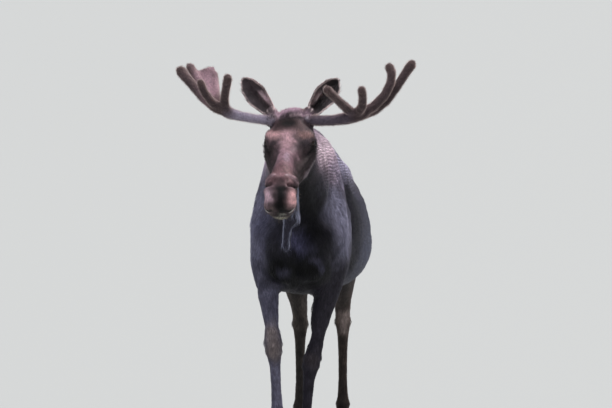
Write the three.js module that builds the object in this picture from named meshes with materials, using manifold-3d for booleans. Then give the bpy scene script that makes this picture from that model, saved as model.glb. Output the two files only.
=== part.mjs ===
// A life-size bull moose in summer velvet, walking: three feet on the ground, the right
// forefoot lifted, the head carried level with the back and looking ahead.
// Millimetres. +Z is up, the animal faces -Y, and its left side is +X.
// The flesh is modelled as one body and parted by thin cuts; antlers, eyes and hooves are set in it.

import * as THREE from 'three';
import { LoftGeometry } from 'three/addons/geometries/LoftGeometry.js';
import { mergeVertices } from 'three/addons/utils/BufferGeometryUtils.js';
import Module from 'manifold-3d';

const wasm = await Module();
wasm.setup();

// ---- Driving dimensions -------------------------------------------------------------------

const CUT = 0.3; // gap between touching pieces

const WITHERS_Z = 1690; // top of the shoulder hump
const LOIN_Z = 1545;
const CROUP_Z = 1530;
const BRISKET_Z = 866; // lowest line of the chest
const CHEST_Y = -300; // front of the chest
const RUMP_Y = 1270; // back of the haunches

const HEAD_POLL = [13, -600, 1795]; // top of the head between the ears
const HEAD_PITCH = 33; // degrees that the face line falls below level
const HEAD_YAW = -2.8; // degrees that the muzzle turns to the animal's right
const HEAD_LENGTH = 655; // poll to front of the upper lip

const EYE_RADIUS = 20;
const EYE_PLACE = [104, 180, -66]; // sideways, along the face, above the face line
const HOOF_HEIGHT = 88;
const HOOF_FORWARD = 16; // how far a hoof's middle lies ahead of the leg's
const CORONET_Z = 84; // where a leg ends inside its hooves
const CLAW_LENGTH = 132;
const CLAW_WIDTH = 53;

const FAR = 900; // past everything
const HEAD_CUT_Y = -548;
const BELL_CUT_Z = 1392;
const MOUTH_LINE = -168; // below the face line, in the head's own frame
const FLANK_Y = 770;
const THIGH_CUT_Z = 1150;
const LEG_CUT_Z = 830; // below the elbow and the stifle
const KNEE_CUT_Z = 580; // the knee, hock and fetlock cuts are for a foot on the ground
const HOCK_CUT_Z = 600;
const FETLOCK_CUT_Z = 245;
const FORELEG_INNER_X = -45; // between the forelegs, which swing close to each other

const FLESH_ROUND = 18; // sides of the trunk and the head
const LEG_ROUND = 9;
const TINE_ROUND = 7;
const END_TURN = THREE.MathUtils.degToRad(50); // where a rounded end is cut flat

// ---- Solids ---------------------------------------------------------------------------------

const X_AXIS = new THREE.Vector3(1, 0, 0);
const IDENTITY = new THREE.Matrix4();

function solid(geometry) {
  const bare = new THREE.BufferGeometry();
  bare.setAttribute('position', geometry.attributes.position);
  bare.setIndex(geometry.index);
  const merged = mergeVertices(bare, 1e-3);
  const corners = merged.index.array;
  const whole = [];
  for (let i = 0; i < corners.length; i += 3) {
    const [a, b, c] = [corners[i], corners[i + 1], corners[i + 2]];
    if (a !== b && b !== c && c !== a) whole.push(a, b, c);
  }
  return new wasm.Manifold(new wasm.Mesh({
    numProp: 3,
    vertProperties: new Float32Array(merged.attributes.position.array),
    triVerts: new Uint32Array(whole),
  }));
}

function joined(list) {
  return list.reduce((sum, next) => sum.add(next));
}

function geometryOf(manifold) {
  const mesh = manifold.getMesh();
  const geometry = new THREE.BufferGeometry();
  const points = new THREE.BufferAttribute(new Float32Array(mesh.vertProperties), 3);
  geometry.setAttribute('position', points);
  geometry.setIndex(new THREE.BufferAttribute(new Uint32Array(mesh.triVerts), 1));
  return geometry;
}

// An oval ring whose upper and lower halves have their own depth and fullness; over 2 is fuller
// than an ellipse.
function oval(angle, [side, up, down], [upperFull, lowerFull]) {
  const c = Math.cos(angle);
  const s = Math.sin(angle);
  const power = 2 / (c > 0 ? upperFull : lowerFull);
  const across = Math.sign(s) * Math.abs(s) ** power * side;
  const along = Math.sign(c) * Math.abs(c) ** power * (c > 0 ? up : down);
  return [across, along];
}

// Skins a body through stations [x, y, z, side, up, down], with smooth curves between them.
// side lies along the side axis and up is square to it and to the way the body runs.
function loft(stations, options = {}) {
  const { around = FLESH_ROUND, steps = 1, side = X_AXIS, full = [2, 2] } = options;
  const { grow = 0, ring = oval, frame = IDENTITY, roundEnd = false, shape = null } = options;
  const places = new THREE.CatmullRomCurve3(stations.map((s) => new THREE.Vector3(s[0], s[1], s[2])));
  const sizes = new THREE.CatmullRomCurve3(stations.map((s) => new THREE.Vector3(s[3], s[4], s[5])));
  const count = (stations.length - 1) * steps;
  const sections = [];

  function addSection(t, shift, shrink) {
    const tangent = places.getTangent(t);
    const up = new THREE.Vector3().crossVectors(side, tangent).normalize();
    const across = new THREE.Vector3().crossVectors(tangent, up).normalize();
    const centre = places.getPoint(t).addScaledVector(tangent, shift);
    const size = sizes.getPoint(t).toArray().map((value) => (value + grow) * shrink);
    const points = [];
    for (let k = 0; k < around; k += 1) {
      const [a, b] = ring((k / around) * 2 * Math.PI, size, full);
      const point = centre.clone().addScaledVector(across, a).addScaledVector(up, b);
      if (shape) shape(point);
      points.push(point.applyMatrix4(frame));
    }
    sections.push(points);
  }

  const endBulge = Math.min(stations.at(-1)[3], stations.at(-1)[4]);
  for (let i = 0; i <= count; i += 1) {
    const shift = i === 0 ? -grow : i === count && !roundEnd ? grow : 0;
    addSection(i / count, shift, 1);
  }
  if (roundEnd) addSection(1, (endBulge + grow) * Math.sin(END_TURN), Math.cos(END_TURN));
  return solid(new LoftGeometry(sections, { capStart: true, capEnd: true }));
}

function ball(centre, radii, frame = IDENTITY, grow = 0, detail = [9, 6]) {
  const geometry = new THREE.SphereGeometry(1, detail[0], detail[1]);
  geometry.scale(radii[0] + grow, radii[1] + grow, radii[2] + grow);
  geometry.translate(...centre);
  geometry.applyMatrix4(frame);
  return solid(geometry);
}

// A box between two corners in a local frame; grown by the cut on every side when asked.
function block(low, high, frame = IDENTITY, grow = 0) {
  const size = low.map((value, i) => high[i] - value + 2 * grow);
  const geometry = new THREE.BoxGeometry(...size);
  geometry.translate(...low.map((value, i) => (value + high[i]) / 2));
  geometry.applyMatrix4(frame);
  return solid(geometry);
}

// A frame at a place whose third axis runs along a direction.
function along(place, direction, side = X_AXIS) {
  const z = new THREE.Vector3(...direction).normalize();
  const y = new THREE.Vector3().crossVectors(z, side).normalize();
  const x = new THREE.Vector3().crossVectors(y, z);
  return new THREE.Matrix4().makeBasis(x, y, z).setPosition(...place);
}

// ---- Materials ------------------------------------------------------------------------------

function finish(color, roughness) {
  return new THREE.MeshStandardMaterial({ color, roughness, metalness: 0 });
}

const COAT = 0x2b2624;
const FACE = 0x5a4038;
const VELVET = 0x4a3830;
const HORN = 0x1d1916;

const object = new THREE.Group();

function addNode(name, manifold, color, roughness = 0.9) {
  const mesh = new THREE.Mesh(geometryOf(manifold), finish(color, roughness));
  mesh.name = name;
  object.add(mesh);
}

// ---- Trunk, neck and tail -------------------------------------------------------------------

// Stations run from the chest to the rump: x, y, centre z, half width, height above, depth below.
function trunkStation(y, centre, width, top, bottom) {
  return [0, y, centre, width, top - centre, centre - bottom];
}

const trunk = loft([
  trunkStation(CHEST_Y, 1180, 80, 1310, 1065),
  trunkStation(-232, 1170, 158, 1470, 968),
  trunkStation(-130, 1160, 198, 1590, 900),
  trunkStation(0, 1150, 224, 1670, BRISKET_Z),
  trunkStation(130, 1140, 236, WITHERS_Z, BRISKET_Z),
  trunkStation(290, 1110, 266, 1645, 856),
  trunkStation(470, 1085, 290, LOIN_Z + 30, 842),
  trunkStation(650, 1085, 298, LOIN_Z, 842),
  trunkStation(810, 1110, 278, CROUP_Z + 8, 896),
  trunkStation(950, 1180, 242, CROUP_Z, 980),
  trunkStation(1070, 1230, 192, 1502, 1040),
  trunkStation(1175, 1260, 142, 1450, 1090),
  trunkStation(RUMP_Y - 25, 1275, 72, 1390, 1165),
], { full: [1.9, 2.6] });

// The neck runs forward, so a station's height comes after its depth: x, y, z, half width,
// below, above.
const neck = loft([
  [0, 150, 1290, 200, 290, 320],
  [0, -40, 1380, 190, 286, 324],
  [0, -190, 1448, 162, 256, 268],
  [0, -330, 1500, 132, 206, 212],
  [2, -450, 1545, 116, 168, 186],
  [6, -550, 1582, 102, 130, 172],
  [8, -630, 1606, 84, 90, 124],
], { around: 15 });

const tail = loft([
  [0, 1215, 1412, 36, 26, 26],
  [0, 1262, 1385, 34, 24, 24],
  [0, 1292, 1335, 28, 20, 20],
  [0, 1300, 1285, 16, 11, 11],
], { around: 10, roundEnd: true });

// ---- Head -----------------------------------------------------------------------------------

// Head frame: sideways, along the face from the poll to the lips, and out of the face.
const pitch = THREE.MathUtils.degToRad(HEAD_PITCH);
const faceWay = new THREE.Vector3(0, -Math.cos(pitch), -Math.sin(pitch));
const faceUp = new THREE.Vector3(0, -Math.sin(pitch), Math.cos(pitch));
const headFrame = new THREE.Matrix4()
  .makeRotationZ(THREE.MathUtils.degToRad(HEAD_YAW))
  .multiply(new THREE.Matrix4().makeBasis(X_AXIS.clone().negate(), faceWay, faceUp))
  .setPosition(...HEAD_POLL);

function headStation(s, width, top, bottom, middle = 0.5) {
  const centre = bottom + (top - bottom) * middle;
  return [0, s, centre, width, top - centre, centre - bottom];
}

// Forms that stand out of the sides of the head: outward, upward, then their place along and
// above the face line and their reach in both.
const FACE_FORMS = [
  [24, 10, 160, -38, 44, 30], // brow over the eye
  [14, 0, 235, -150, 85, 62], // cheek
  [-12, 0, 330, -70, 70, 40], // hollow below the eye
  [8, 4, 592, -46, 32, 30], // nostril wing
  [4, 0, 612, -122, 34, 34], // side of the upper lip
  [16, 6, 62, -18, 30, 28], // root of the antler
];

function standOut(point) {
  const { x, y, z } = point;
  for (const [out, lift, s, n, reachS, reachN] of FACE_FORMS) {
    const strength = Math.exp(-(((y - s) / reachS) ** 2) - ((z - n) / reachN) ** 2);
    const sideways = Math.min(1, Math.abs(x) / 45);
    point.x += Math.sign(x) * out * strength * sideways;
    point.z += lift * strength * sideways;
  }
}

const skull = loft([
  headStation(-62, 62, -104, -200),
  headStation(-24, 86, -26, -215, 0.6),
  headStation(30, 95, 6, -230, 0.6),
  headStation(110, 110, 4, -246, 0.55),
  headStation(175, 117, -8, -246, 0.5),
  headStation(240, 94, -20, -236, 0.42),
  headStation(310, 78, -18, -214, 0.4),
  headStation(375, 62, -2, -190, 0.42),
  headStation(435, 58, 8, -172, 0.46),
  headStation(500, 63, 6, -162, 0.5),
  headStation(560, 73, -6, -166, 0.5),
  headStation(605, 76, -26, -170, 0.5),
  headStation(638, 68, -54, -166, 0.5),
  headStation(HEAD_LENGTH, 50, -84, -148, 0.5),
], { full: [2.3, 2.3], steps: 2, frame: headFrame, shape: standOut });

const jaw = loft([
  headStation(120, 62, -150, -262),
  headStation(210, 66, -140, -258),
  headStation(320, 56, -135, -226),
  headStation(430, 50, -130, -196),
  headStation(520, 52, -130, -190),
  headStation(580, 51, -130, -196),
  headStation(612, 41, -135, -186),
], { around: 16, frame: headFrame });

// The flap of skin under the throat, ending in a hanging strip.
const bell = loft([
  [6, -700, 1470, 46, 80, 80],
  [2, -700, 1400, 50, 82, 78],
  [6, -694, 1335, 46, 70, 60],
  [14, -688, 1290, 44, 48, 44],
  [-4, -684, 1250, 26, 30, 30],
  [-10, -680, 1200, 22, 20, 22],
  [-12, -676, 1160, 15, 13, 14],
], { around: 12, roundEnd: true });

// An ear is a leaf rolled into a cup: a crescent ring that opens forward.
const EAR_WALL = 9;

function crescent(angle, [half, depth]) {
  const turn = angle / Math.PI;
  const outer = turn < 1;
  const sweep = THREE.MathUtils.degToRad(112) * (outer ? 2 * turn - 1 : 3 - 2 * turn);
  const wall = outer ? 0 : Math.min(EAR_WALL, half * 0.45);
  return [Math.sin(sweep) * (half - wall * 0.8), Math.cos(sweep) * (depth - wall) - depth * 0.35];
}

const EAR_PATH = [
  [84, -585, 1762], [118, -578, 1806], [162, -560, 1856], [206, -534, 1902], [238, -510, 1936],
];
const EAR_HALF = [[30, 26], [46, 36], [62, 38], [48, 27], [10, 7]];

function ear(s, path) {
  const stations = path.map(([x, y, z], i) => [s * x, y, z, EAR_HALF[i][0], EAR_HALF[i][1], 1]);
  // Across the ear runs square to its length and to the way that the cup opens.
  const opening = new THREE.Vector3(s * 0.12, -0.98, -0.1);
  const root = new THREE.Vector3(...stations[0].slice(0, 3));
  const run = new THREE.Vector3(...stations.at(-1).slice(0, 3)).sub(root);
  const across = new THREE.Vector3().crossVectors(run, opening).normalize();
  const leaf = loft(stations, { around: 14, side: across.negate(), ring: crescent });
  return leaf.add(ball([s * 88, -586, 1766], [32, 30, 38]));
}

// ---- Legs -----------------------------------------------------------------------------------

// Stations down a leg: x, y, z, half width, depth behind, depth in front.
const LEFT_FORELEG = [
  [100, 80, 1570, 45, 70, 70],
  [132, 20, 1340, 78, 150, 150],
  [154, -30, 1165, 90, 165, 165],
  [152, -15, 1020, 88, 128, 120],
  [128, 5, 900, 70, 82, 78],
  [101, 5, 780, 51, 58, 55],
  [82, 2, 670, 38, 43, 42],
  [61, -4, 585, 41, 40, 48],
  [48, -5, 530, 44, 42, 52],
  [38, 6, 462, 32, 36, 34],
  [30, 10, 350, 26, 32, 27],
  [22, 12, 255, 29, 36, 29],
  [17, 14, 205, 36, 45, 35],
  [14, -8, 150, 33, 36, 33],
  [12, -28, 108, 42, 42, 38],
  [12, -34, 84, 44, 44, 40],
];

const RIGHT_FORELEG = [
  [-100, 70, 1570, 45, 70, 70],
  [-132, 0, 1340, 78, 150, 150],
  [-156, -55, 1165, 90, 165, 165],
  [-160, -60, 1030, 86, 125, 120],
  [-152, -95, 920, 64, 84, 80],
  [-138, -150, 820, 45, 58, 54],
  [-124, -202, 742, 36, 43, 42],
  [-116, -230, 680, 45, 42, 50],
  [-111, -230, 620, 42, 38, 50],
  [-107, -208, 548, 29, 34, 32],
  [-104, -182, 440, 26, 32, 27],
  [-102, -158, 352, 29, 36, 29],
  [-101, -144, 300, 36, 45, 35],
  [-100, -150, 244, 33, 36, 33],
  [-100, -160, 202, 42, 42, 38],
  [-100, -163, 180, 44, 44, 40],
];

function hindleg(s, hipShift, footShift, inward) {
  const shifted = [
    [84, 960, 1420, 60, 130, 130, 0.1],
    [112, 975, 1250, 98, 200, 190, 0.2],
    [122, 975, 1150, 103, 205, 195, 0.3],
    [126, 960, 1070, 98, 185, 175, 0.4],
    [128, 1000, 945, 84, 130, 130, 0.6],
    [118, 1075, 840, 66, 90, 92, 0.8],
    [112, 1145, 745, 48, 60, 60, 0.9],
    [110, 1190, 672, 41, 52, 42, 1],
    [110, 1204, 615, 40, 48, 41, 1],
    [110, 1200, 550, 30, 37, 33, 1],
    [110, 1196, 460, 25, 31, 27, 1],
    [110, 1194, 340, 24, 30, 25, 1],
    [110, 1194, 255, 28, 35, 28, 1],
    [110, 1198, 205, 35, 45, 34, 1],
    [110, 1178, 150, 31, 35, 32, 1],
    [110, 1160, 108, 40, 41, 37, 1],
    [110, 1154, 84, 42, 43, 39, 1],
  ];
  return shifted.map(([x, y, z, side, rear, front, share]) => {
    const moved = y + hipShift * (1 - share) + footShift * share;
    return [s * x + inward * (2 * share - 1), moved, z, side, rear, front];
  });
}

const LEFT_HINDLEG = hindleg(1, 0, 40, -3);
const RIGHT_HINDLEG = hindleg(-1, 0, -110, 13);

const legs = {
  foreleg_left: LEFT_FORELEG,
  foreleg_right: RIGHT_FORELEG,
  hindleg_left: LEFT_HINDLEG,
  hindleg_right: RIGHT_HINDLEG,
};

// The point of the hock stands out behind and above the joint.
const hocks = [LEFT_HINDLEG, RIGHT_HINDLEG].map((leg) => {
  const [x, y, z] = leg[7];
  return ball([x, y + 32, z + 4], [22, 27, 58]);
});

// ---- Hooves ---------------------------------------------------------------------------------

// One claw: a wedge that is straight on its inner side and comes to a point in front.
function claw(s, grow = 0) {
  const outline = new THREE.Shape();
  const back = CLAW_LENGTH * 0.42;
  const tip = CLAW_LENGTH * 0.58;
  outline.moveTo(0, back);
  outline.quadraticCurveTo(CLAW_WIDTH, back, CLAW_WIDTH, back * 0.1);
  outline.quadraticCurveTo(CLAW_WIDTH * 0.95, -tip * 0.6, CLAW_WIDTH * 0.22, -tip);
  outline.lineTo(0, -tip * 0.93);
  const points = outline.getPoints(2);
  const levels = [[0, 1, 0], [10, 1, 0], [HOOF_HEIGHT * 0.6, 0.9, 7], [HOOF_HEIGHT, 0.72, 15]];
  const middle = new THREE.Vector2(CLAW_WIDTH / 2, 0);
  const sections = levels.map(([z, scale, back2], i) => {
    const height = z + (i === 0 ? -grow : i === levels.length - 1 ? grow : 0);
    const spread = (middle.x * scale + grow) / middle.x;
    return points.map((p) => new THREE.Vector3(
      s * (3 + middle.x * scale + (p.x - middle.x) * spread),
      p.y * spread + back2,
      height,
    ));
  });
  if (s > 0) sections.forEach((section) => section.reverse());
  return solid(new LoftGeometry(sections, { capStart: true, capEnd: true }));
}

// ---- Antlers --------------------------------------------------------------------------------

// A tine: stations are x, y, z, half thickness sideways, half thickness across that.
function tine(points, options = {}) {
  const stations = points.map(([x, y, z, a, b = a]) => [x, y, z, a, b, b]);
  const side = new THREE.Vector3(0, 1, 0);
  return loft(stations, { around: TINE_ROUND, side, roundEnd: true, ...options });
}

// Left antler: a beam, two front tines and two long outer tines.
const LEFT_BEAM = [
  [60, -642, 1738, 25], [105, -640, 1743, 26], [155, -640, 1742, 26],
  [206, -642, 1744, 26], [258, -650, 1752, 27, 30], [305, -652, 1764, 26, 33],
  [350, -646, 1778, 25, 29],
];
const LEFT_INNER = [
  [300, -656, 1772, 24, 25], [268, -690, 1806, 22, 23], [230, -738, 1846, 20],
  [187, -788, 1894, 21],
];
const LEFT_UPRIGHT = [
  [318, -660, 1775, 22, 26], [345, -696, 1812, 21, 22], [350, -724, 1854, 20],
  [346, -748, 1892, 21],
];
const LEFT_LONG = [
  [340, -650, 1780, 22, 25], [394, -642, 1808, 23, 24], [447, -640, 1864, 22],
  [475, -632, 1922, 22], [478, -624, 1964, 22], [466, -614, 1992, 23],
];
const LEFT_OUTER = [
  [330, -632, 1768, 22, 26], [392, -606, 1786, 22, 24], [451, -584, 1832, 21, 22],
  [498, -566, 1896, 21], [536, -552, 1958, 22], [565, -540, 2001, 25],
];

// Right antler: a beam, an inner tine, and a cupped plate with three blunt tines.
const RIGHT_BEAM = [
  [-60, -642, 1738, 25], [-95, -640, 1742, 25], [-154, -640, 1748, 22],
  [-226, -642, 1760, 23], [-279, -650, 1774, 25, 29], [-318, -650, 1800, 26, 32],
];
const RIGHT_INNER = [
  [-304, -656, 1790, 24, 30], [-301, -686, 1846, 21], [-288, -722, 1902, 21],
  [-279, -746, 1944, 22],
];
const RIGHT_THUMB = [
  [-335, -660, 1806, 22, 24], [-366, -684, 1834, 21], [-396, -703, 1880, 20],
  [-409, -718, 1921, 20],
];
const RIGHT_OUTER = [
  [-318, -648, 1790, 24, 26], [-345, -648, 1800, 25, 26], [-404, -638, 1848, 24, 25],
  [-458, -618, 1904, 23], [-498, -596, 1948, 25], [-515, -586, 1969, 27],
];
const RIGHT_BACK = [
  [-330, -626, 1808, 22, 26], [-376, -590, 1850, 21, 25], [-425, -554, 1912, 21, 22],
  [-464, -527, 1962, 22], [-480, -514, 1984, 22],
];

// The plate of the right antler: a thin web from the back tine to a thick inner edge.
const RIGHT_PLATE = [
  [-350, -608, 1826, 24, 17], [-376, -572, 1878, 32, 12], [-398, -542, 1930, 48, 11],
  [-414, -527, 1968, 60, 11],
];
const PLATE_WAY = new THREE.Vector3(-0.95, 0.21, 0.23).normalize();
const RIGHT_PLATE_EDGE = [
  [-330, -634, 1808, 18, 20], [-345, -594, 1864, 16, 15], [-353, -558, 1922, 16, 14],
  [-360, -538, 1958, 15, 13],
];

const SOCKET = { roundEnd: false, grow: CUT };
const antlerRoots = [tine(LEFT_BEAM.slice(0, 3), SOCKET), tine(RIGHT_BEAM.slice(0, 3), SOCKET)];

// ---- Assembly -------------------------------------------------------------------------------

const EAR_LEFT_PATH = EAR_PATH.map(([x, y, z]) => [x * 0.86 + 18, y, z]);
let flesh = joined([
  trunk, neck, tail, skull, jaw, bell,
  ear(1, EAR_LEFT_PATH), ear(-1, EAR_PATH), ...hocks,
  ...Object.values(legs).map((stations) => loft(stations, { around: LEG_ROUND })),
]);

// The head frame's first axis points to the animal's right.
const eyes = { eye_left: -1, eye_right: 1 };
for (const [name, s] of Object.entries(eyes)) {
  const place = [s * EYE_PLACE[0], EYE_PLACE[1], EYE_PLACE[2]];
  const radii = [EYE_RADIUS, EYE_RADIUS, EYE_RADIUS];
  flesh = flesh.subtract(ball(place, radii, headFrame, CUT));
  addNode(name, ball(place, radii, headFrame), HORN, 0.15);
}
for (const root of antlerRoots) flesh = flesh.subtract(root);

// Each foot has two claws under the end of its leg, and two dewclaws behind its fetlock.
for (const [leg, stations] of Object.entries(legs)) {
  const [x, y, z] = stations.at(-1);
  const [, fetlockY, fetlockZ] = stations.at(-4);
  const rise = z - CORONET_Z;
  const hoofFrame = new THREE.Matrix4().makeTranslation(x, y - HOOF_FORWARD, rise);
  for (const [part, s] of [['left', 1], ['right', -1]]) {
    const shape = claw(s);
    const hollow = claw(s, CUT);
    flesh = flesh.subtract(hollow.transform(hoofFrame.elements));
    addNode(`hoof_${leg}_${part}`, shape.transform(hoofFrame.elements), HORN, 0.5);
    const spur = [
      [x + s * 20, fetlockY + 34, fetlockZ - 28, 13, 15, 15],
      [x + s * 24, fetlockY + 44, fetlockZ - 62, 10, 11, 11],
    ];
    const dewclaw = loft(spur, { around: 5, roundEnd: true });
    flesh = flesh.subtract(loft(spur, { around: 5, roundEnd: true, grow: CUT }));
    addNode(`dewclaw_${leg}_${part}`, dewclaw, HORN, 0.5);
  }
}

// Takes what a block holds out of the body and gives it a node; the cut leaves a thin gap.
function take(name, low, high, frame = IDENTITY, color = COAT) {
  addNode(name, flesh.intersect(block(low, high, frame)), color);
  flesh = flesh.subtract(block(low, high, frame, CUT));
}

// Ears are cut across their second station, the rest of the head across the frames given.
for (const [name, s, path] of [['ear_left', 1, EAR_LEFT_PATH], ['ear_right', -1, EAR_PATH]]) {
  const [start, tip] = [path[1], path.at(-1)].map(([x, y, z]) => new THREE.Vector3(s * x, y, z));
  const frame = along(start.toArray(), tip.sub(start).toArray());
  take(name, [-120, -120, 0], [120, 120, 300], frame, FACE);
}
take('bell', [-90, -820, 1000], [90, -590, BELL_CUT_Z]);
take('lower_jaw', [-150, 300, -400], [150, 640, MOUTH_LINE], headFrame, FACE);
take('head', [-FAR, -1400, 1100], [FAR, HEAD_CUT_Y, 2000], IDENTITY, FACE);
take('neck', [-FAR, -FAR, 0], [FAR, FAR, FAR], along([0, -190, 1420], [0, -0.93, 0.36]));
take('tail', [-60, -60, 0], [60, 48, 200], along([0, 1275, 1372], [0, 0.5, -0.85]));
take('thigh_left', [CUT / 2, FLANK_Y, LEG_CUT_Z], [400, 1500, THIGH_CUT_Z]);
take('thigh_right', [-400, FLANK_Y, LEG_CUT_Z], [-CUT / 2, 1500, THIGH_CUT_Z]);

// Each leg is cut above the hock or the knee, and below it above the fetlock.
for (const [leg, stations] of Object.entries(legs)) {
  const fore = leg.startsWith('fore');
  const rise = stations.at(-1)[2] - CORONET_Z;
  const inner = fore ? FORELEG_INNER_X : 0;
  const [x0, x1] = stations[0][0] > 0 ? [inner, 300] : [-300, inner];
  const [y0, y1] = fore ? [-500, 500] : [700, 1600];
  take(`${leg}_foot`, [x0, y0, -50], [x1, y1, FETLOCK_CUT_Z + rise]);
  take(`${leg}_cannon`, [x0, y0, 100], [x1, y1, (fore ? KNEE_CUT_Z : HOCK_CUT_Z) + rise]);
  take(`${leg}_${fore ? 'forearm' : 'gaskin'}`, [x0, y0, 300], [x1, y1, LEG_CUT_Z]);
}
addNode('trunk', flesh, COAT);

// Antlers are parted at the forks: a tine's outer length is its own piece, and its root is
// one with the beam. Each tine has the place of its cut, and the way it runs there.
const TINE_REACH = 400;

function antler(beamName, beamSolids, tines) {
  const roots = [];
  const half = TINE_REACH / 2;
  for (const [name, points, place, way] of tines) {
    const frame = along(place, way, new THREE.Vector3(0, 1, 0));
    const whole = tine(points);
    const outer = block([-half, -half, CUT], [half, half, TINE_REACH], frame);
    addNode(name, whole.intersect(outer), VELVET);
    roots.push(whole.intersect(block([-half, -half, -TINE_REACH], [half, half, 0], frame)));
  }
  addNode(beamName, joined([...beamSolids, ...roots]), VELVET);
}

antler('antler_left_beam', [tine(LEFT_BEAM)], [
  ['antler_left_inner_tine', LEFT_INNER, [268, -690, 1806], [-38, -48, 40]],
  ['antler_left_upright_tine', LEFT_UPRIGHT, [342, -696, 1812], [0, -26, 38]],
  ['antler_left_long_tine', LEFT_LONG, [424, -641, 1838], [50, 0, 56]],
  ['antler_left_outer_tine', LEFT_OUTER, [424, -596, 1806], [50, -20, 50]],
]);

antler('antler_right_beam', [
  tine(RIGHT_BEAM), tine(RIGHT_BACK), tine(RIGHT_PLATE, { side: PLATE_WAY }), tine(RIGHT_PLATE_EDGE),
], [
  ['antler_right_inner_tine', RIGHT_INNER, [-297, -684, 1846], [8, -34, 52]],
  ['antler_right_thumb_tine', RIGHT_THUMB, [-364, -684, 1834], [-28, -18, 40]],
  ['antler_right_outer_tine', RIGHT_OUTER, [-404, -636, 1850], [-52, 20, 56]],
]);

// The finished animal stands on z = 0 with its box centred over the origin.
const box = new THREE.Box3().setFromObject(object);
const centre = box.getCenter(new THREE.Vector3());
object.position.set(-centre.x, -centre.y, -box.min.z);
object.updateMatrixWorld(true);

export default object;
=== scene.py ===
# %% [markdown]
# # A bull moose in summer velvet
# This lesson dresses a life-size standing moose. The frame that it loads holds plain solids for
# every part of the animal. Over them go one seamless skin, a coat of small solid tufts, velvet
# on the antlers, horn on the hooves and wet eyes. All lengths are in metres, +Z is up, and the
# animal faces -Y with its left side at +X.

# %% Load the frame
import math
import time

import bmesh
import bpy
import numpy as np
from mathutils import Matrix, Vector
from mathutils.bvhtree import BVHTree


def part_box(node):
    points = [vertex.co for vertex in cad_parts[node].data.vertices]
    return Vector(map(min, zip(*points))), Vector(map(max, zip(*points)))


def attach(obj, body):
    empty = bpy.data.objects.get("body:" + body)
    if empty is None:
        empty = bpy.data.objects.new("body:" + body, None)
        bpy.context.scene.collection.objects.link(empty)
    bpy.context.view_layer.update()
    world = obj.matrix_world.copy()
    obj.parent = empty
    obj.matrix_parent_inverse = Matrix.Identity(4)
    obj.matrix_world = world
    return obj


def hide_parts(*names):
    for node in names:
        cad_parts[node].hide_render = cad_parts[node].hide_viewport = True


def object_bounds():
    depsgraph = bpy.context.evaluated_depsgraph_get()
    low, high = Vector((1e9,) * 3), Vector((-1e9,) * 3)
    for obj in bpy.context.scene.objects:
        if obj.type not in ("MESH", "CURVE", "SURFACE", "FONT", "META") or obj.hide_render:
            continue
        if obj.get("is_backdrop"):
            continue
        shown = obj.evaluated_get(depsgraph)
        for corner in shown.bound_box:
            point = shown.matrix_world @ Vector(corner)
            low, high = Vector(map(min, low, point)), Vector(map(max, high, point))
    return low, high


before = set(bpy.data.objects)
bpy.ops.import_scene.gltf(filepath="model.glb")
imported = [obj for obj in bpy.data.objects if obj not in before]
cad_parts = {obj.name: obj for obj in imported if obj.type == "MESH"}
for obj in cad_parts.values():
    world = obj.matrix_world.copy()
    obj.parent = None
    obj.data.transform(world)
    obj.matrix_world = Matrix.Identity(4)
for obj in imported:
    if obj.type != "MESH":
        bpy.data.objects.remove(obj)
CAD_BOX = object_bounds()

STARTED = time.time()
MM = 0.001
NODES = sorted(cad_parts)
print("frame:", len(NODES), "nodes, box", [round(v, 3) for corner in CAD_BOX for v in corner])

# %% [markdown]
# ## Landmarks
# Everything later is measured from a few landmarks, so the skin keeps fitting if the frame moves.
# The two eyes give the head its own axes: to the left, along the face from the poll to the lips,
# and out of the face. The poll, the top of the head between the ears, gives the body its origin.

# %% The head's axes and the body's origin
FACE_PITCH = math.radians(33)
EYE_ALONG = 0.180
EYE_OUT = -0.066
POLL_PLACE = np.array([0.013, -0.600, 1.795])


def middle(node):
    low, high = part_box(node)
    return np.array((low + high) / 2)


def unit(vectors):
    vectors = np.asarray(vectors, float)
    lengths = np.linalg.norm(vectors, axis=-1, keepdims=True)
    return vectors / np.maximum(lengths, 1e-9)


EYES = {name: middle(name) for name in ("eye_left", "eye_right")}
UP = np.array([0.0, 0.0, 1.0])
LEFT = unit(EYES["eye_left"] - EYES["eye_right"])
AHEAD = np.cross(LEFT, UP)
ALONG = AHEAD * math.cos(FACE_PITCH) - UP * math.sin(FACE_PITCH)
OUT = AHEAD * math.sin(FACE_PITCH) + UP * math.cos(FACE_PITCH)
POLL = (EYES["eye_left"] + EYES["eye_right"]) / 2 - ALONG * EYE_ALONG - OUT * EYE_OUT
HOME = POLL - POLL_PLACE


def body_at(*places):
    """Places in millimetres from the body's origin, which lies on the ground under the withers."""
    return np.array(places, float).reshape(-1, 3) * MM + HOME


def head_at(*places):
    """Places in millimetres from the poll: to the left, along the face, out of the face."""
    places = np.array(places, float).reshape(-1, 3) * MM
    return POLL + places @ np.array([LEFT, ALONG, OUT])


def head_coordinates(points):
    """The other way: left, along and out of points, in millimetres."""
    return (points - POLL) @ np.array([LEFT, ALONG, OUT]).T / MM


print("poll at", POLL.round(3), "and body origin at", HOME.round(3))

# %% [markdown]
# ## The lie of the coat
# Hair on a moose grows back from the nose, down the neck and legs, and back along the barrel. A
# texture can't say that, and combing by hand can't be repeated. So a stick figure holds it: each
# stick has a place, a reach, the way its hair lies, and how deep, long and wide the coat is
# there. Any point of the skin takes a blend of the sticks near it, so nothing changes at a line.

# %% The table of sticks
FACE_BACK = tuple(-ALONG)
HEAD_FRAME = "head"
STICK_FIELDS = ("reach", "depth", "length", "width", "lift", "blur")

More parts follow.
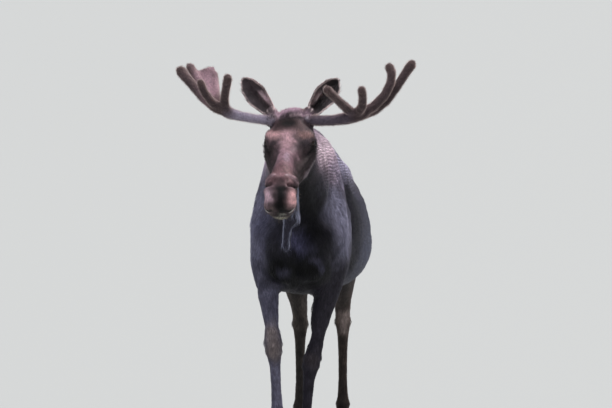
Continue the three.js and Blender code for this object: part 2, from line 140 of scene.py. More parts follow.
# name: frame, start, end, way of the hair, then reach, coat depth, tuft length and width, how far
# the tips stand out of the coat, and how much the skin is smoothed; all in millimetres.
STICKS = {
    "barrel": ("body", (0, 330, 1190), (0, 780, 1190), (0, 1, -0.5), 290, 12, 46, 6.5, 0, 42),
    "hump": ("body", (0, 40, 1560), (0, 270, 1545), (0, 1, -0.35), 130, 13, 58, 7, 1, 34),
    "back": ("body", (0, 450, 1440), (0, 960, 1430), (0, 1, -0.25), 130, 13, 50, 6.5, 0, 38),
    "belly": ("body", (0, 180, 980), (0, 780, 970), (0, 1, -0.1), 125, 14, 52, 6.5, 2, 38),
    "chest": ("body", (0, -200, 1190), (0, -70, 990), (0, 0.35, -1), 150, 13, 50, 6.5, 1, 26),
    "shoulder_left": ("body", (120, 40, 1480), (160, -70, 1160), (0, 0.5, -1), 130, 11, 42, 6, 0, 26),
    "shoulder_right": ("body", (-120, 30, 1480), (-162, -90, 1160), (0, 0.5, -1), 130, 11, 42, 6, 0, 26),
    "neck": ("body", (0, -170, 1440), (2, -490, 1560), (0, 0.75, -0.8), 150, 12, 44, 6, 0, 26),
    "mane": ("body", (0, -60, 1660), (4, -500, 1690), (0, 1, -0.3), 55, 12, 56, 6.5, 2, 22),
    "throat": ("body", (0, -330, 1330), (4, -560, 1480), (0, 0.5, -1), 62, 14, 54, 6.5, 3, 20),
    "rump_left": ("body", (90, 1000, 1400), (90, 1170, 1330), (0.2, 0.6, -1), 130, 11, 44, 6.5, 0, 34),
    "rump_right": ("body", (-90, 1000, 1400), (-90, 1170, 1330), (-0.2, 0.6, -1), 130, 11, 44, 6.5, 0, 34),
    "tail": ("body", (0, 1230, 1405), (0, 1298, 1290), (0, 0.4, -1), 26, 7, 30, 4.5, 1, 9),
    "bell": ("body", (6, -700, 1470), (14, -688, 1290), (0, 0.1, -1), 46, 8, 44, 5, 2, 10),
    "bell_strip": ("body", (6, -686, 1270), (-12, -676, 1150), (0, 0, -1), 20, 6, 44, 4.5, 2, 6),
    "thigh_left": ("body", (120, 975, 1250), (126, 960, 1040), (0, 0.35, -1), 160, 10, 42, 6, 0, 28),
    "thigh_right": ("body", (-112, 900, 1250), (-118, 880, 1040), (0, 0.35, -1), 160, 10, 42, 6, 0, 28),
    "foreleg_left_arm": ("body", (152, -15, 1020), (82, 2, 670), (0, 0.12, -1), 62, 6, 27, 4.2, 0, 13),
    "foreleg_left_shin": ("body", (61, -4, 590), (22, 12, 255), (0, 0.1, -1), 33, 4, 19, 3.2, 0, 8),
    "foreleg_left_foot": ("body", (17, 14, 205), (12, -34, 92), (0, -0.2, -1), 38, 4, 17, 3, 0, 7),
    "foreleg_right_arm": ("body", (-160, -60, 1030), (-118, -222, 700), (0, -0.3, -1), 62, 6, 27, 4.2, 0, 13),
    "foreleg_right_shin": ("body", (-111, -230, 640), (-102, -158, 352), (0, 0.25, -1), 33, 4, 19, 3.2, 0, 8),
    "foreleg_right_foot": ("body", (-101, -144, 300), (-100, -163, 188), (0, -0.15, -1), 38, 4, 17, 3, 0, 7),
    "hindleg_left_arm": ("body", (125, 1032, 900), (107, 1220, 690), (0, 0.5, -1), 68, 7, 29, 4.6, 0, 13),
    "hindleg_left_shin": ("body", (107, 1244, 615), (107, 1234, 255), (0, 0, -1), 33, 4, 20, 3.4, 0, 8),
    "hindleg_left_foot": ("body", (107, 1238, 205), (107, 1194, 92), (0, -0.25, -1), 38, 4, 17, 3, 0, 7),
    "hindleg_right_arm": ("body", (-112, 925, 900), (-98, 1072, 690), (0, 0.5, -1), 68, 7, 29, 4.6, 0, 13),
    "hindleg_right_shin": ("body", (-97, 1094, 615), (-97, 1084, 255), (0, 0, -1), 33, 4, 20, 3.4, 0, 8),
    "hindleg_right_foot": ("body", (-97, 1088, 205), (-97, 1044, 92), (0, -0.25, -1), 38, 4, 17, 3, 0, 7),
    "crown": ("head", (0, -20, -70), (0, 60, -70), FACE_BACK, 85, 6, 19, 3.0, 1, 11),
    "cheek": ("head", (0, 150, -150), (0, 330, -130), FACE_BACK, 80, 4, 13, 2.4, 0, 11),
    "bridge": ("head", (0, 160, -60), (0, 430, -50), FACE_BACK, 66, 3, 10, 2.1, 0, 11),
    "muzzle": ("head", (0, 520, -90), (0, 600, -100), FACE_BACK, 70, 2.5, 8, 1.9, 0, 9),
    "jaw": ("head", (0, 330, -190), (0, 600, -165), FACE_BACK, 40, 3, 11, 2.1, 0, 9),
    "ear_left": ("body", (119, -578, 1806), (222, -510, 1936), (0.62, 0.36, 0.7), 40, 1.5, 13, 2.4, 0, 9),
    "ear_right": ("body", (-118, -578, 1806), (-238, -510, 1936), (-0.66, 0.34, 0.66),
                  40, 1.5, 13, 2.4, 0, 9),
}
BLEND_POWER = 5
LEAST_GAP = 0.05
print("stick figure:", len(STICKS), "sticks")

# %% [markdown]
# Hard borders between the sticks would show as lines in the coat. Each point weighs all sticks by
# how near they are, against their own reach, and the nearest one counts most.

# %% Blend the sticks
def line_distance(points, start, end):
    """How far each point is from the line between two places."""
    run = end - start
    share = np.clip((points - start) @ run / (run @ run), 0, 1)
    return np.linalg.norm(points - start - share[:, None] * run, axis=1)


def stick_weights(points):
    """The share that each stick has in each point, one row for each stick."""
    weights = np.empty((len(STICKS), len(points)))
    for row, (where, start, end, _, reach, *_rest) in enumerate(STICKS.values()):
        place = head_at if where == HEAD_FRAME else body_at
        ends = place(start, end)
        distance = line_distance(points, *ends) / (reach * MM)
        weights[row] = np.maximum(distance, LEAST_GAP) ** -BLEND_POWER
    return weights / weights.sum(0)


def coat_values(points):
    """The blended way of the hair and coat measures, in metres, and the nearest stick."""
    weights = stick_weights(points)
    ways = unit([stick[3] for stick in STICKS.values()])
    table = np.array([stick[5:] for stick in STICKS.values()]) * MM
    blend = dict(zip(STICK_FIELDS[1:], (weights.T @ table).T))
    blend["way"] = unit(weights.T @ ways)
    blend["stick"] = weights.argmax(0)
    return blend


print("coat at the poll:", round(float(coat_values(POLL[None])["depth"][0]) / MM, 1), "mm deep")

# %% [markdown]
# ## One skin over all the flesh
# A real hide has no seams where the neck meets the trunk, but the solids do. Joining copies of
# them and remeshing the lot into small even squares gives one closed surface. The eyes and the
# roots of the antlers are joined in too, because they fill the sockets, which would otherwise
# become pits. Boolean unions would keep the flat facets, and sculpting can't be repeated.

# %% Join the flesh and remesh it
NOT_FLESH = ("eye", "hoof", "dewclaw", "antler")
FLESH = [name for name in NODES if not name.startswith(NOT_FLESH)]
SKIN_VOXEL = 0.005
# Balls that fill the sockets of the antlers: place and radius in millimetres.
SOCKET_PLUGS = (
    (72, -640, 1739, 29), (92, -640, 1741, 29),
    (-72, -642, 1739, 29), (-92, -641, 1740, 28),
)
BALL_DETAIL = 3


def points_of(mesh):
    points = np.empty(len(mesh.vertices) * 3)
    mesh.vertices.foreach_get("co", points)
    return points.reshape(-1, 3)


def normals_of(mesh):
    normals = np.empty(len(mesh.vertices) * 3)
    mesh.vertices.foreach_get("normal", normals)
    return normals.reshape(-1, 3)


def put_points(mesh, points):
    mesh.vertices.foreach_set("co", np.ascontiguousarray(points, dtype=np.float32).ravel())
    mesh.update()


def new_object(name, mesh):
    piece = bpy.data.objects.new(name, mesh)
    bpy.context.scene.collection.objects.link(piece)
    return piece


def joined(name, nodes, balls=()):
    """One mesh with copies of the nodes and of some balls (x, y, z, radius)."""
    made = bmesh.new()
    for node in nodes:
        made.from_mesh(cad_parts[node].data)
    for centre, radius in balls:
        ball = bmesh.ops.create_icosphere(made, subdivisions=BALL_DETAIL, radius=radius)
        bmesh.ops.translate(made, verts=ball["verts"], vec=Vector(centre))
    mesh = bpy.data.meshes.new(name)
    made.to_mesh(mesh)
    made.free()
    return mesh


def with_modifier(mesh, kind, **settings):
    """The mesh that one modifier makes of another, as a new mesh."""
    holder = new_object("holder", mesh)
    modifier = holder.modifiers.new(kind, kind)
    for key, value in settings.items():
        setattr(modifier, key, value)
    graph = bpy.context.evaluated_depsgraph_get()
    made = bpy.data.meshes.new_from_object(holder.evaluated_get(graph))
    bpy.data.objects.remove(holder)
    bpy.data.meshes.remove(mesh)
    return made


def edges_of(mesh):
    edges = np.empty(len(mesh.edges) * 2, np.int64)
    mesh.edges.foreach_get("vertices", edges)
    return edges.reshape(-1, 2)


plugs = [(body_at(plug[:3])[0], plug[3] * MM) for plug in SOCKET_PLUGS]
skin_mesh = with_modifier(
    joined("skin", FLESH + list(EYES), plugs), "REMESH", mode="VOXEL", voxel_size=SKIN_VOXEL
)
print("remeshed skin:", len(skin_mesh.vertices), "points", round(time.time() - STARTED, 1), "s")

# %% [markdown]
# ## Smoothing by region
# The facets of the solids have to go, but an ear can't take the smoothing that a rib cage needs.
# Each point moves towards the mean of its neighbours again and again. How far it moves at a
# time follows from the stick figure: a blur of 42 mm on the barrel, and 9 mm on an ear.

# %% Relax the surface
ROUNDS = 110
MOST_STEP = 0.9


def relaxed(points, edges, strength, rounds):
    """Umbrella smoothing with a strength for each point."""
    first, second = edges.T
    count = np.bincount(edges.ravel(), minlength=len(points))
    share = (strength / np.maximum(count, 1))[:, None]
    keep = (1 - strength)[:, None]
    total = np.empty_like(points)
    for _ in range(rounds):
        for axis in range(3):
            column = points[:, axis]
            total[:, axis] = np.bincount(first, column[second], len(points))
            total[:, axis] += np.bincount(second, column[first], len(points))
        points = points * keep + total * share
    return points


skin_points = points_of(skin_mesh)
skin_edges = edges_of(skin_mesh)
blur = coat_values(skin_points)["blur"]
strength = np.minimum(blur**2 / (ROUNDS * SKIN_VOXEL**2) * 2, MOST_STEP)
skin_points = relaxed(skin_points, skin_edges, strength, ROUNDS)
put_points(skin_mesh, skin_points)
print("relaxed by up to", round(float(blur.max()) / MM), "mm", round(time.time() - STARTED, 1), "s")

# %% [markdown]
# ## Bones and muscles under the skin
# A smooth tube isn't an animal. What reads as a moose is the ridge of the shoulder blade, the
# hollow behind it, the hip bones, the knobs of knee and hock, and the tendons behind the shins.
# Each one is a path laid on the skin, which rises or sinks around it by a soft bell curve. A
# sculptor would draw the same lines. Here each has a name and can be changed or drawn again.
# A negative height is a groove or a hollow.

# %% Forms of the body
BODY = "body"
HEAD = "head"
BOTH = "both sides"
ONE = "one side"

# name, frame, sides, height and width in millimetres, then the points of the path.
BODY_FORMS = [
    ("ridge of the shoulder blade", BODY, BOTH, 10, 40, (105, 70, 1590), (190, -20, 1390), (212, -95, 1230)),
    ("front edge of the shoulder", BODY, BOTH, -9, 34,
     (80, -130, 1580), (160, -185, 1400), (165, -235, 1250)),
    ("point of the shoulder", BODY, BOTH, 14, 52, (170, -190, 1185)),
    ("hollow behind the shoulder", BODY, BOTH, -15, 44, (205, 185, 1480), (232, 175, 1380), (238, 150, 1180)),
    ("triceps", BODY, BOTH, 13, 52, (205, 40, 1260), (205, 55, 1090)),
    ("elbow", BODY, BOTH, 11, 30, (192, 88, 965)),
    ("hollow behind the elbow", BODY, BOTH, -12, 36, (215, 165, 985)),
    ("groove under the shoulder", BODY, BOTH, -9, 22, (165, -235, 1130), (195, -150, 990), (175, -90, 900)),
    ("hollow of the flank", BODY, BOTH, -18, 70, (232, 745, 1390)),
    ("edge of the back", BODY, BOTH, 10, 36, (195, 150, 1490), (215, 350, 1468), (210, 560, 1462)),
    ("flat of the upper barrel", BODY, BOTH, -14, 42, (262, 330, 1365), (272, 480, 1355), (264, 640, 1360)),
    ("edge of the loin", BODY, BOTH, 8, 26, (170, 560, 1515), (178, 820, 1488)),
    ("hip bone", BODY, BOTH, 15, 46, (186, 838, 1476)),
    ("pin bone", BODY, BOTH, 12, 30, (92, 1212, 1395)),
    ("haunch", BODY, BOTH, 8, 70, (215, 960, 1320)),
    ("groove of the ham", BODY, BOTH, -7, 32, (170, 1100, 1360), (150, 1120, 1080)),
    ("groove of the neck", BODY, BOTH, -7, 26, (80, -560, 1490), (118, -400, 1395), (132, -250, 1270)),
    ("strap muscle of the neck", BODY, BOTH, 6, 34, (96, -545, 1590), (140, -360, 1470), (172, -215, 1300)),
    ("groove under the crest", BODY, BOTH, -5, 30, (60, -500, 1690), (110, -260, 1640), (118, -90, 1590)),
    ("fold below the ear", BODY, BOTH, -4, 16, (92, -530, 1690), (112, -520, 1610), (96, -520, 1520)),
    ("breast muscle", BODY, BOTH, 19, 44, (86, -250, 990)),
    ("upper breast", BODY, BOTH, 14, 50, (80, -290, 1150)),
    ("spine", BODY, ONE, 6, 20, (0, 420, 1590), (0, 800, 1540), (0, 1150, 1470)),
    ("groove of the breast", BODY, ONE, -15, 24, (0, -300, 1190), (0, -280, 1000), (0, -150, 880)),
    ("keel of the breast", BODY, ONE, 7, 26, (0, -300, 1290), (0, -296, 1210)),
    ("stifle, left", BODY, ONE, 15, 44, (172, 800, 1015)),
    ("stifle, right", BODY, ONE, 15, 44, (-168, 730, 1015)),
    ("fold of the flank, left", BODY, ONE, 9, 34, (225, 735, 1080), (165, 700, 940)),
    ("fold of the flank, right", BODY, ONE, 9, 34, (-225, 680, 1080), (-165, 640, 940)),
    ("foot of the bell", BODY, ONE, 6, 20, (-26, -678, 1168), (2, -678, 1168)),
    ("root of the tail", BODY, ONE, 12, 34, (0, 1190, 1445), (0, 1222, 1410)),
    ("sheath", BODY, ONE, 15, 34, (0, 560, 850), (0, 700, 868)),
]
print(len(BODY_FORMS), "forms of the trunk, neck and tail")

# %% [markdown]
# ## Ribs and joints of the legs
# Ribs and legs repeat, so they are made in loops. Each leg has the same knobs, grooves and
# tendons, measured from its own knee or hock, and the shin's forms run from there to the fetlock.

# %% Forms of the ribs and legs
RIBS = 7
FIRST_RIB = 240
RIB_GAP = 66
RIB_HEIGHT = 1.6
RIB_WIDTH = 21
for rib in range(RIBS):
    place = FIRST_RIB + rib * RIB_GAP
    path = [(200, place, 1480), (285, place + 45, 1250), (250, place + 60, 1010)]
    BODY_FORMS.append((f"rib {rib + 1}", BODY, BOTH, RIB_HEIGHT, RIB_WIDTH, *path))

# A leg's forms: side, back and up from the knee or hock, in its own standing frame.
KNEE_FORMS = [
    ("knob of the knee", 6, 15, (33, 2, 14)),
    ("lower knob of the knee", 4, 14, (33, -4, -26)),
    ("bone behind the knee", 9, 14, (8, 44, 26)),
    ("crease above the knee", -4, 12, (16, -38, 62), (-16, -38, 62)),
    ("outer muscle of the forearm", 7, 36, (34, -34, 250), (30, -34, 190)),
    ("groove of the forearm", -5, 13, (40, 12, 280), (34, 10, 100)),
]
HOCK_FORMS = [
    ("point of the hock", 5, 18, (0, 58, 40)),
    ("groove before the hamstring", -11, 15, (28, 18, 150), (30, 26, 60)),
    ("knob of the hock", 6, 16, (38, -4, -8)),
    ("front of the hock", 5, 18, (0, -42, 12)),
]
# Share of the way from the knee or hock to the fetlock, then side and back.
SHIN_FORMS = [
    ("tendon", 4, 10, (0.16, 0, 36), (0.9, 0, 40)),
    ("groove before the tendon", -5, 8, (0.16, 21, 13), (0.86, 24, 16)),
    ("knob of the fetlock", 5, 14, (1.0, 32, -2)),
    ("pad of the fetlock", 7, 13, (1.03, 16, 42)),
]
# Knee or hock, fetlock and the front of the coronet of each leg.
LEG_JOINTS = {
    "foreleg_left": (KNEE_FORMS, (55, -5, 555), (17, 14, 215), (12, -82, 96)),
    "foreleg_right": (KNEE_FORMS, (-113, -230, 645), (-101, -144, 310), (-100, -210, 192)),
    "hindleg_left": (HOCK_FORMS, (107, 1242, 640), (107, 1238, 215), (107, 1150, 96)),
    "hindleg_right": (HOCK_FORMS, (-97, 1092, 640), (-97, 1088, 215), (-97, 1000, 96)),
}
CLAW_SPLIT = ("split of the claws", -7, 7)
SPLIT_TOP = (0, 22, 52)
for leg, (joint_forms, joint, fetlock, coronet) in LEG_JOINTS.items():
    joint, fetlock, coronet = (np.array(place, float) for place in (joint, fetlock, coronet))
    for side in (1, -1):
        for name, height, width, *path in joint_forms:
            path = [tuple(joint + (side * x, y, z)) for x, y, z in path]
            BODY_FORMS.append((f"{leg} {name}", BODY, ONE, height, width, *path))
        for name, height, width, *path in SHIN_FORMS:
            path = [tuple(joint + (fetlock - joint) * t + (side * x, y, 0)) for t, x, y in path]
            BODY_FORMS.append((f"{leg} {name}", BODY, ONE, height, width, *path))
    split = [tuple(coronet + SPLIT_TOP), tuple(coronet)]
    BODY_FORMS.append((f"{leg} {CLAW_SPLIT[0]}", BODY, ONE, *CLAW_SPLIT[1:], *split))
print(len(BODY_FORMS), "forms of the body")

# %% [markdown]
# ## Lay the forms on the skin
# The paths are written a little off the surface, because nobody can hit a curved skin by numbers.
# A search tree finds the nearest place of the skin for points along each path, and the bell
# curve is measured from those.

# %% Find how far each point rises
SURFACE_STEP = 0.35
FORM_REACH = 2.6


def surface_tree(points, mesh):
    """A search tree over the faces of a mesh, whose points may have moved."""
    corners = np.empty(len(mesh.loops), np.int64)
    mesh.loops.foreach_get("vertex_index", corners)
    starts = np.empty(len(mesh.polygons), np.int64)
    mesh.polygons.foreach_get("loop_start", starts)
    faces = [row.tolist() for row in np.split(corners, starts[1:])]
    return BVHTree.FromPolygons(points.tolist(), faces)


def draped(path, tree, spacing):
    """A path in metres, laid on the skin as points about a spacing apart."""
    places = [path[0]]
    for start, end in zip(path[:-1], path[1:]):
        steps = max(1, math.ceil(np.linalg.norm(end - start) / spacing))
        places += [start + (end - start) * k / steps for k in range(1, steps + 1)]
    return np.array([tree.find_nearest(Vector(place))[0] for place in places])


def rise_of(points, forms, tree):
    """How far each point rises, in metres, for a list of forms."""
    rise = np.zeros(len(points))
    for _, where, sides, height, width, *path in forms:
        place = head_at if where == HEAD else body_at
        width = width * MM
        for side in (1, -1) if sides == BOTH else (1,):
            line = draped(place(*[(side * x, y, z) for x, y, z in path]), tree, width * SURFACE_STEP)
            low = line.min(0) - FORM_REACH * width
            high = line.max(0) + FORM_REACH * width
            near = np.flatnonzero(((points > low) & (points < high)).all(1))
            nearest = np.full(len(near), np.inf)
            for spot in line:
                nearest = np.minimum(nearest, ((points[near] - spot) ** 2).sum(1))
            rise[near] += height * MM * np.exp(-nearest / width**2)
    return rise


skin_tree = surface_tree(skin_points, skin_mesh)
body_rise = rise_of(skin_points, BODY_FORMS, skin_tree)
print("the forms rise up to", round(body_rise.max() / MM), "mm", round(time.time() - STARTED, 1), "s")

# %% [markdown]
# ## Make room for the coat
# The solids reach to the tips of the hair, so the skin has to lie deeper by the depth of the
# coat: about 10 mm on the hump, 2 to 3 mm on the face. Without this the tufts would make the
# animal fatter than it is. Smoothing has drawn the big rounds in a little already, which counts.

# %% Sink the skin
DRAWN_IN = 0.25
LEAST_DEPTH = 0.001
SETTLE = 0.3
SETTLE_ROUNDS = 2

values = coat_values(skin_points)
depth = np.maximum(values["depth"] * (1 - DRAWN_IN), LEAST_DEPTH)
skin_points = skin_points + normals_of(skin_mesh) * (body_rise - depth)[:, None]
skin_points = relaxed(skin_points, skin_edges, np.full(len(skin_points), SETTLE), SETTLE_ROUNDS)
put_points(skin_mesh, skin_points)
print("skin sunk by up to", round(float(depth.max()) / MM, 1), "mm")

# %% [markdown]
# ## Thin the skin out
# A quarter of a million small squares are more than a barrel needs. The decimate modifier takes
# faces away where the skin is flat. A vertex group, in a few even steps, tells it to spare the
# head, the ears and the bell.

# %% Take faces away by place
KEEP_RATIO = 0.19
FINE_PARTS = ("crown", "cheek", "bridge", "muzzle", "jaw", "ear_left", "ear_right", "bell_strip")
COARSE_GAIN = 1.3
COARSE_OFFSET = 0.15
LEVELS = 8

stick_names = list(STICKS)
fine_sticks = [stick_names.index(name) for name in FINE_PARTS]
coarse = 1 - stick_weights(skin_points)[fine_sticks].sum(0)
coarse = np.clip(coarse * COARSE_GAIN - COARSE_OFFSET, 0, 1)
holder = new_object("holder", skin_mesh)
group = holder.vertex_groups.new(name="coarse")
levels = np.round(coarse * LEVELS).astype(int)
for level in range(LEVELS + 1):
    chosen = np.flatnonzero(levels == level).tolist()
    group.add(chosen, level / LEVELS, "REPLACE")
thinner = holder.modifiers.new("thinner", "DECIMATE")
thinner.ratio = KEEP_RATIO
thinner.vertex_group = group.name
graph = bpy.context.evaluated_depsgraph_get()
thin_mesh = bpy.data.meshes.new_from_object(holder.evaluated_get(graph))
bpy.data.objects.remove(holder)
bpy.data.meshes.remove(skin_mesh)
skin_mesh = thin_mesh
print("thinned skin:", len(skin_mesh.polygons), "faces", round(time.time() - STARTED, 1), "s")

# %% [markdown]
# ## The head
# A moose is known by its head: the long overhanging nose with wide-set comma nostrils, the lip
# line far below, the small eye under a heavy brow. Such forms are only a few millimetres wide,
# so the mesh is first made finer where they lie. Subdividing the whole skin that finely would
# cost a million faces. Subdividing by place costs about a hundred thousand.

# %% Make the mesh finer round the eyes, nose and mouth
# Ranges along the face and out of it, and rings round the eyes, in millimetres.
MUZZLE_ALONG = (455, 760)
MUZZLE_OUT = (-230, 60)
LIP_ALONG = (300, 700)
LIP_OUT = (-202, -142)
EYE_RINGS = (62, 36)


def between(values, limits):
    return (values > limits[0]) & (values < limits[1])


def split_near(made, chosen_faces):
    """Halve all edges of the chosen faces."""
    edges = {edge for face in chosen_faces for edge in face.edges}
    bmesh.ops.subdivide_edges(made, edges=list(edges), cuts=1, use_grid_fill=True)
    bmesh.ops.triangulate(made, faces=[face for face in made.faces if len(face.verts) > 3])


def face_middles(made):
    return np.array([face.calc_center_median() for face in made.faces])


def near_eyes(middles, ring):
    gaps = [np.linalg.norm(middles - eye, axis=1) for eye in EYES.values()]
    return np.min(gaps, axis=0) < ring * MM


made = bmesh.new()
made.from_mesh(skin_mesh)
middles = face_middles(made)
_, along, out = head_coordinates(middles).T
on_muzzle = between(along, MUZZLE_ALONG) & between(out, MUZZLE_OUT)
on_lips = between(along, LIP_ALONG) & between(out, LIP_OUT)
fine = (on_muzzle | on_lips) & (middles[:, 1] < POLL[1])
fine |= near_eyes(middles, EYE_RINGS[0])
faces = list(made.faces)
split_near(made, [faces[k] for k in np.flatnonzero(fine)])

middles = face_middles(made)
faces = list(made.faces)
split_near(made, [faces[k] for k in np.flatnonzero(near_eyes(middles, EYE_RINGS[1]))])
made.to_mesh(skin_mesh)
made.free()
print("skin with a finer head:", len(skin_mesh.polygons), "faces", round(time.time() - STARTED, 1), "s")

# %% [markdown]
# ## Folds, lips and nostrils
# The head gets the same kind of forms as the body, only finer, and measured from the poll. The
# nostril is three of them: a raised wing, a deep comma behind it and a softer back corner. The
# crown has two folds of skin where the neck's muscles meet the forehead.

# %% Forms of the head
# name, frame, sides, height and width in millimetres, then the points of the path.
HEAD_FORMS = [
    ("mound of the eye", HEAD, BOTH, 9, 34, (112, 184, -64)),
    ("brow", HEAD, BOTH, 6, 14, (112, 138, -30), (118, 180, -26), (100, 226, -44)),
    ("hollow of the temple", HEAD, BOTH, -6, 20, (108, 112, -70)),
    ("fold over the lid", HEAD, BOTH, -3.5, 6, (116, 156, -44), (118, 182, -40), (110, 208, -50)),
    ("fold under the lid", HEAD, BOTH, -3, 6, (112, 158, -92), (114, 184, -95), (104, 208, -92)),
    ("slit before the eye", HEAD, BOTH, -4.5, 5, (104, 212, -80), (90, 246, -92)),
    ("hollow before the eye", HEAD, BOTH, -7, 22, (88, 250, -70)),
    ("crest of the face", HEAD, BOTH, 6, 13, (100, 222, -112), (80, 320, -108), (64, 410, -96)),
    ("hollow of the nose", HEAD, BOTH, -6, 24, (66, 300, -62), (54, 410, -58)),
    ("edge of the cheek", HEAD, BOTH, 8, 15,
     (120, 142, -82), (122, 168, -108), (106, 230, -138), (80, 306, -158)),
    ("fold of the cheek", HEAD, BOTH, -4, 12, (104, 210, -150), (84, 280, -164)),
    ("corner of the jaw", HEAD, BOTH, 6, 24, (92, 130, -210)),
    ("groove of the jaw", HEAD, BOTH, -5, 14, (80, 215, -225), (66, 300, -205)),
    ("foot of the antler", HEAD, BOTH, 6, 17, (92, 62, 6), (112, 62, -20), (96, 62, -44)),
    ("hollow before the antler", HEAD, BOTH, -5, 16, (88, 104, -12)),
    ("crown band", HEAD, ONE, 6, 13, (-56, 8, 0), (0, -12, 8), (56, 2, 0)),
    ("fold of the crown", HEAD, ONE, -8, 8,
     (-48, 52, -6), (-20, 35, 0), (12, 26, -2), (42, 26, -4), (66, 42, -12)),
    ("second fold of the crown", HEAD, ONE, -6, 7, (-54, 76, -8), (-20, 72, 0), (10, 70, 1), (42, 64, -6)),
    ("whorl of the forehead", HEAD, ONE, 6, 11, (-12, 52, 0), (34, 46, -2)),
    ("hollow of the forehead", HEAD, ONE, -4, 26, (-8, 112, 0)),
    ("bridge of the nose", HEAD, ONE, 4, 24, (0, 330, -4), (0, 400, 4), (0, 450, 10)),
    ("dip above the nose", HEAD, ONE, -3, 26, (0, 270, -14)),
    ("wing of the nostril", HEAD, BOTH, 9, 13, (18, 542, 4), (38, 512, -4), (58, 504, -28), (72, 510, -62)),
    ("side of the nostril, left", HEAD, ONE, 11, 20, (74, 530, -70), (66, 508, -44)),
    ("side of the nostril, right", HEAD, ONE, 6, 20, (-74, 530, -70), (-66, 508, -44)),
    ("side of the right pad", HEAD, ONE, -8, 26, (-82, 604, -70), (-80, 596, -104)),
    ("front lip of the nostril", HEAD, BOTH, 4, 9, (30, 592, -18), (44, 590, -40), (58, 576, -64)),
    ("nostril", HEAD, BOTH, -15, 8, (44, 572, -18), (56, 560, -30), (66, 548, -48)),
    ("back of the nostril", HEAD, BOTH, -7, 5.5, (68, 542, -54), (73, 526, -78)),
    ("groove of the nose", HEAD, ONE, -2, 9, (0, 610, -26), (0, 655, -80), (0, 660, -140)),
    ("side of the nose", HEAD, BOTH, 4, 20, (40, 640, -80)),
    ("fold of the upper lip", HEAD, BOTH, -3, 9, (74, 520, -104), (72, 580, -122), (60, 632, -120)),
    ("upper lip", HEAD, BOTH, 4, 8,
     (66, 400, -152), (62, 500, -152), (58, 590, -152), (34, 646, -150), (0, 656, -146)),
    ("line of the mouth", HEAD, BOTH, -9, 5.5,
     (70, 352, -164), (62, 480, -164), (56, 590, -166), (30, 638, -166), (0, 648, -162)),
    ("lower lip", HEAD, BOTH, 4, 7, (60, 420, -180), (56, 500, -178), (50, 590, -180), (22, 622, -180)),
    ("chin", HEAD, ONE, 6, 22, (0, 594, -194)),
    ("groove of the chin", HEAD, BOTH, -4, 10, (48, 540, -196), (30, 520, -200)),
    ("corner of the mouth", HEAD, BOTH, -5, 9, (72, 344, -160)),
    ("folded rim of the ear, left", BODY, ONE, 12, 10,
     (102, -580, 1812), (124, -562, 1846), (150, -546, 1876)),
    ("folded rim of the ear, right", BODY, ONE, 12, 10,
     (-102, -580, 1812), (-128, -562, 1846), (-156, -546, 1876)),
    ("middle of the ear, left", BODY, ONE, 3, 9, (110, -590, 1800), (190, -560, 1900)),
    ("middle of the ear, right", BODY, ONE, 3, 9, (-118, -590, 1800), (-200, -560, 1900)),
]
print(len(HEAD_FORMS), "forms of the head")

# %% [markdown]
# Where the mesh was made finer, old flat faces still show as steps. They are relaxed first, then
# the forms are raised, and then they are relaxed again by half as much.

# %% Raise the forms of the head
HEAD_BLUR = 0.5
FINE_SPAN = 4.2
FIRST_ROUNDS = 6
LAST_ROUNDS = 2


def polish(mesh, forms):
    """Raises the forms of the head on a mesh whose finer patches are first relaxed."""
    points = points_of(mesh)
    edges = edges_of(mesh)
    spans = np.linalg.norm(points[edges[:, 0]] - points[edges[:, 1]], axis=1)
    span = np.bincount(edges.ravel(), np.repeat(spans, 2)) / np.bincount(edges.ravel())
    patch = np.clip((FINE_SPAN * MM - span) / MM, 0, 1) * HEAD_BLUR
    points = relaxed(points, edges, patch, FIRST_ROUNDS)
    put_points(mesh, points)
    tree = surface_tree(points, mesh)
    rise = rise_of(points, forms, tree)
    points = points + normals_of(mesh) * rise[:, None]
    points = relaxed(points, edges, patch * 0.5, LAST_ROUNDS)
    put_points(mesh, points)
    return rise


head_rise = polish(skin_mesh, HEAD_FORMS)
lowest, highest = round(head_rise.min() / MM), round(head_rise.max() / MM)
print("forms of the head from", lowest, "to", highest, "mm", round(time.time() - STARTED, 1), "s")

# %% [markdown]
# ## Lids
# The eyeball is its own piece, and the skin has to close round it. In the eye's own frame the
# opening is an almond. Skin outside it is laid over the ball like a lid, a little thicker than
# nothing, and eases back into the face. Skin inside it is pushed down behind the ball, where it
# can't be seen. So the rim of the lid is a true edge, with no hole cut in the closed skin.

# %% Close the lids round the eyes
EYE_RADIUS = 0.0195
EYE_SET_BACK = 0.0035
LID_THICKNESS = 0.0024
OPENING = (0.0182, 0.0118)
LID_REACH = 0.9
LID_BLEND = 0.0035
LID_TURN = 0.9
LID_FALL = 2.06
LOWER_LID_SHARE = 0.84
EYE_REACH = 2.5
EYE_BACK = -0.2
RIM_SOFTNESS = 0.16
SINK = 0.62
EYE_LOOK = (0.80, 0.50, 0.33)
FISSURE_TILT = math.radians(-8)
FAR = 9.0
eye_axes = {}
eye_places = {}


def eye_frame(name):
    """Along the opening towards the nose, up, and the way the eye looks."""
    side = 1 if name == "eye_left" else -1
    look = unit(LEFT * EYE_LOOK[0] * side + ALONG * EYE_LOOK[1] + OUT * EYE_LOOK[2])
    nose = unit(ALONG - look * (ALONG @ look))
    up = np.cross(nose, look) * -side
    turned = nose * math.cos(FISSURE_TILT) + up * math.sin(FISSURE_TILT)
    return np.array([turned, np.cross(turned, look) * -side, look])


def eased(value):
    value = np.clip(value, 0, 1)
    return value * value * (3 - 2 * value)


def soft_max(one, other, blend):
    """The larger of two heights, with a round step between them."""
    return (one + other + np.sqrt((one - other) ** 2 + blend**2)) / 2


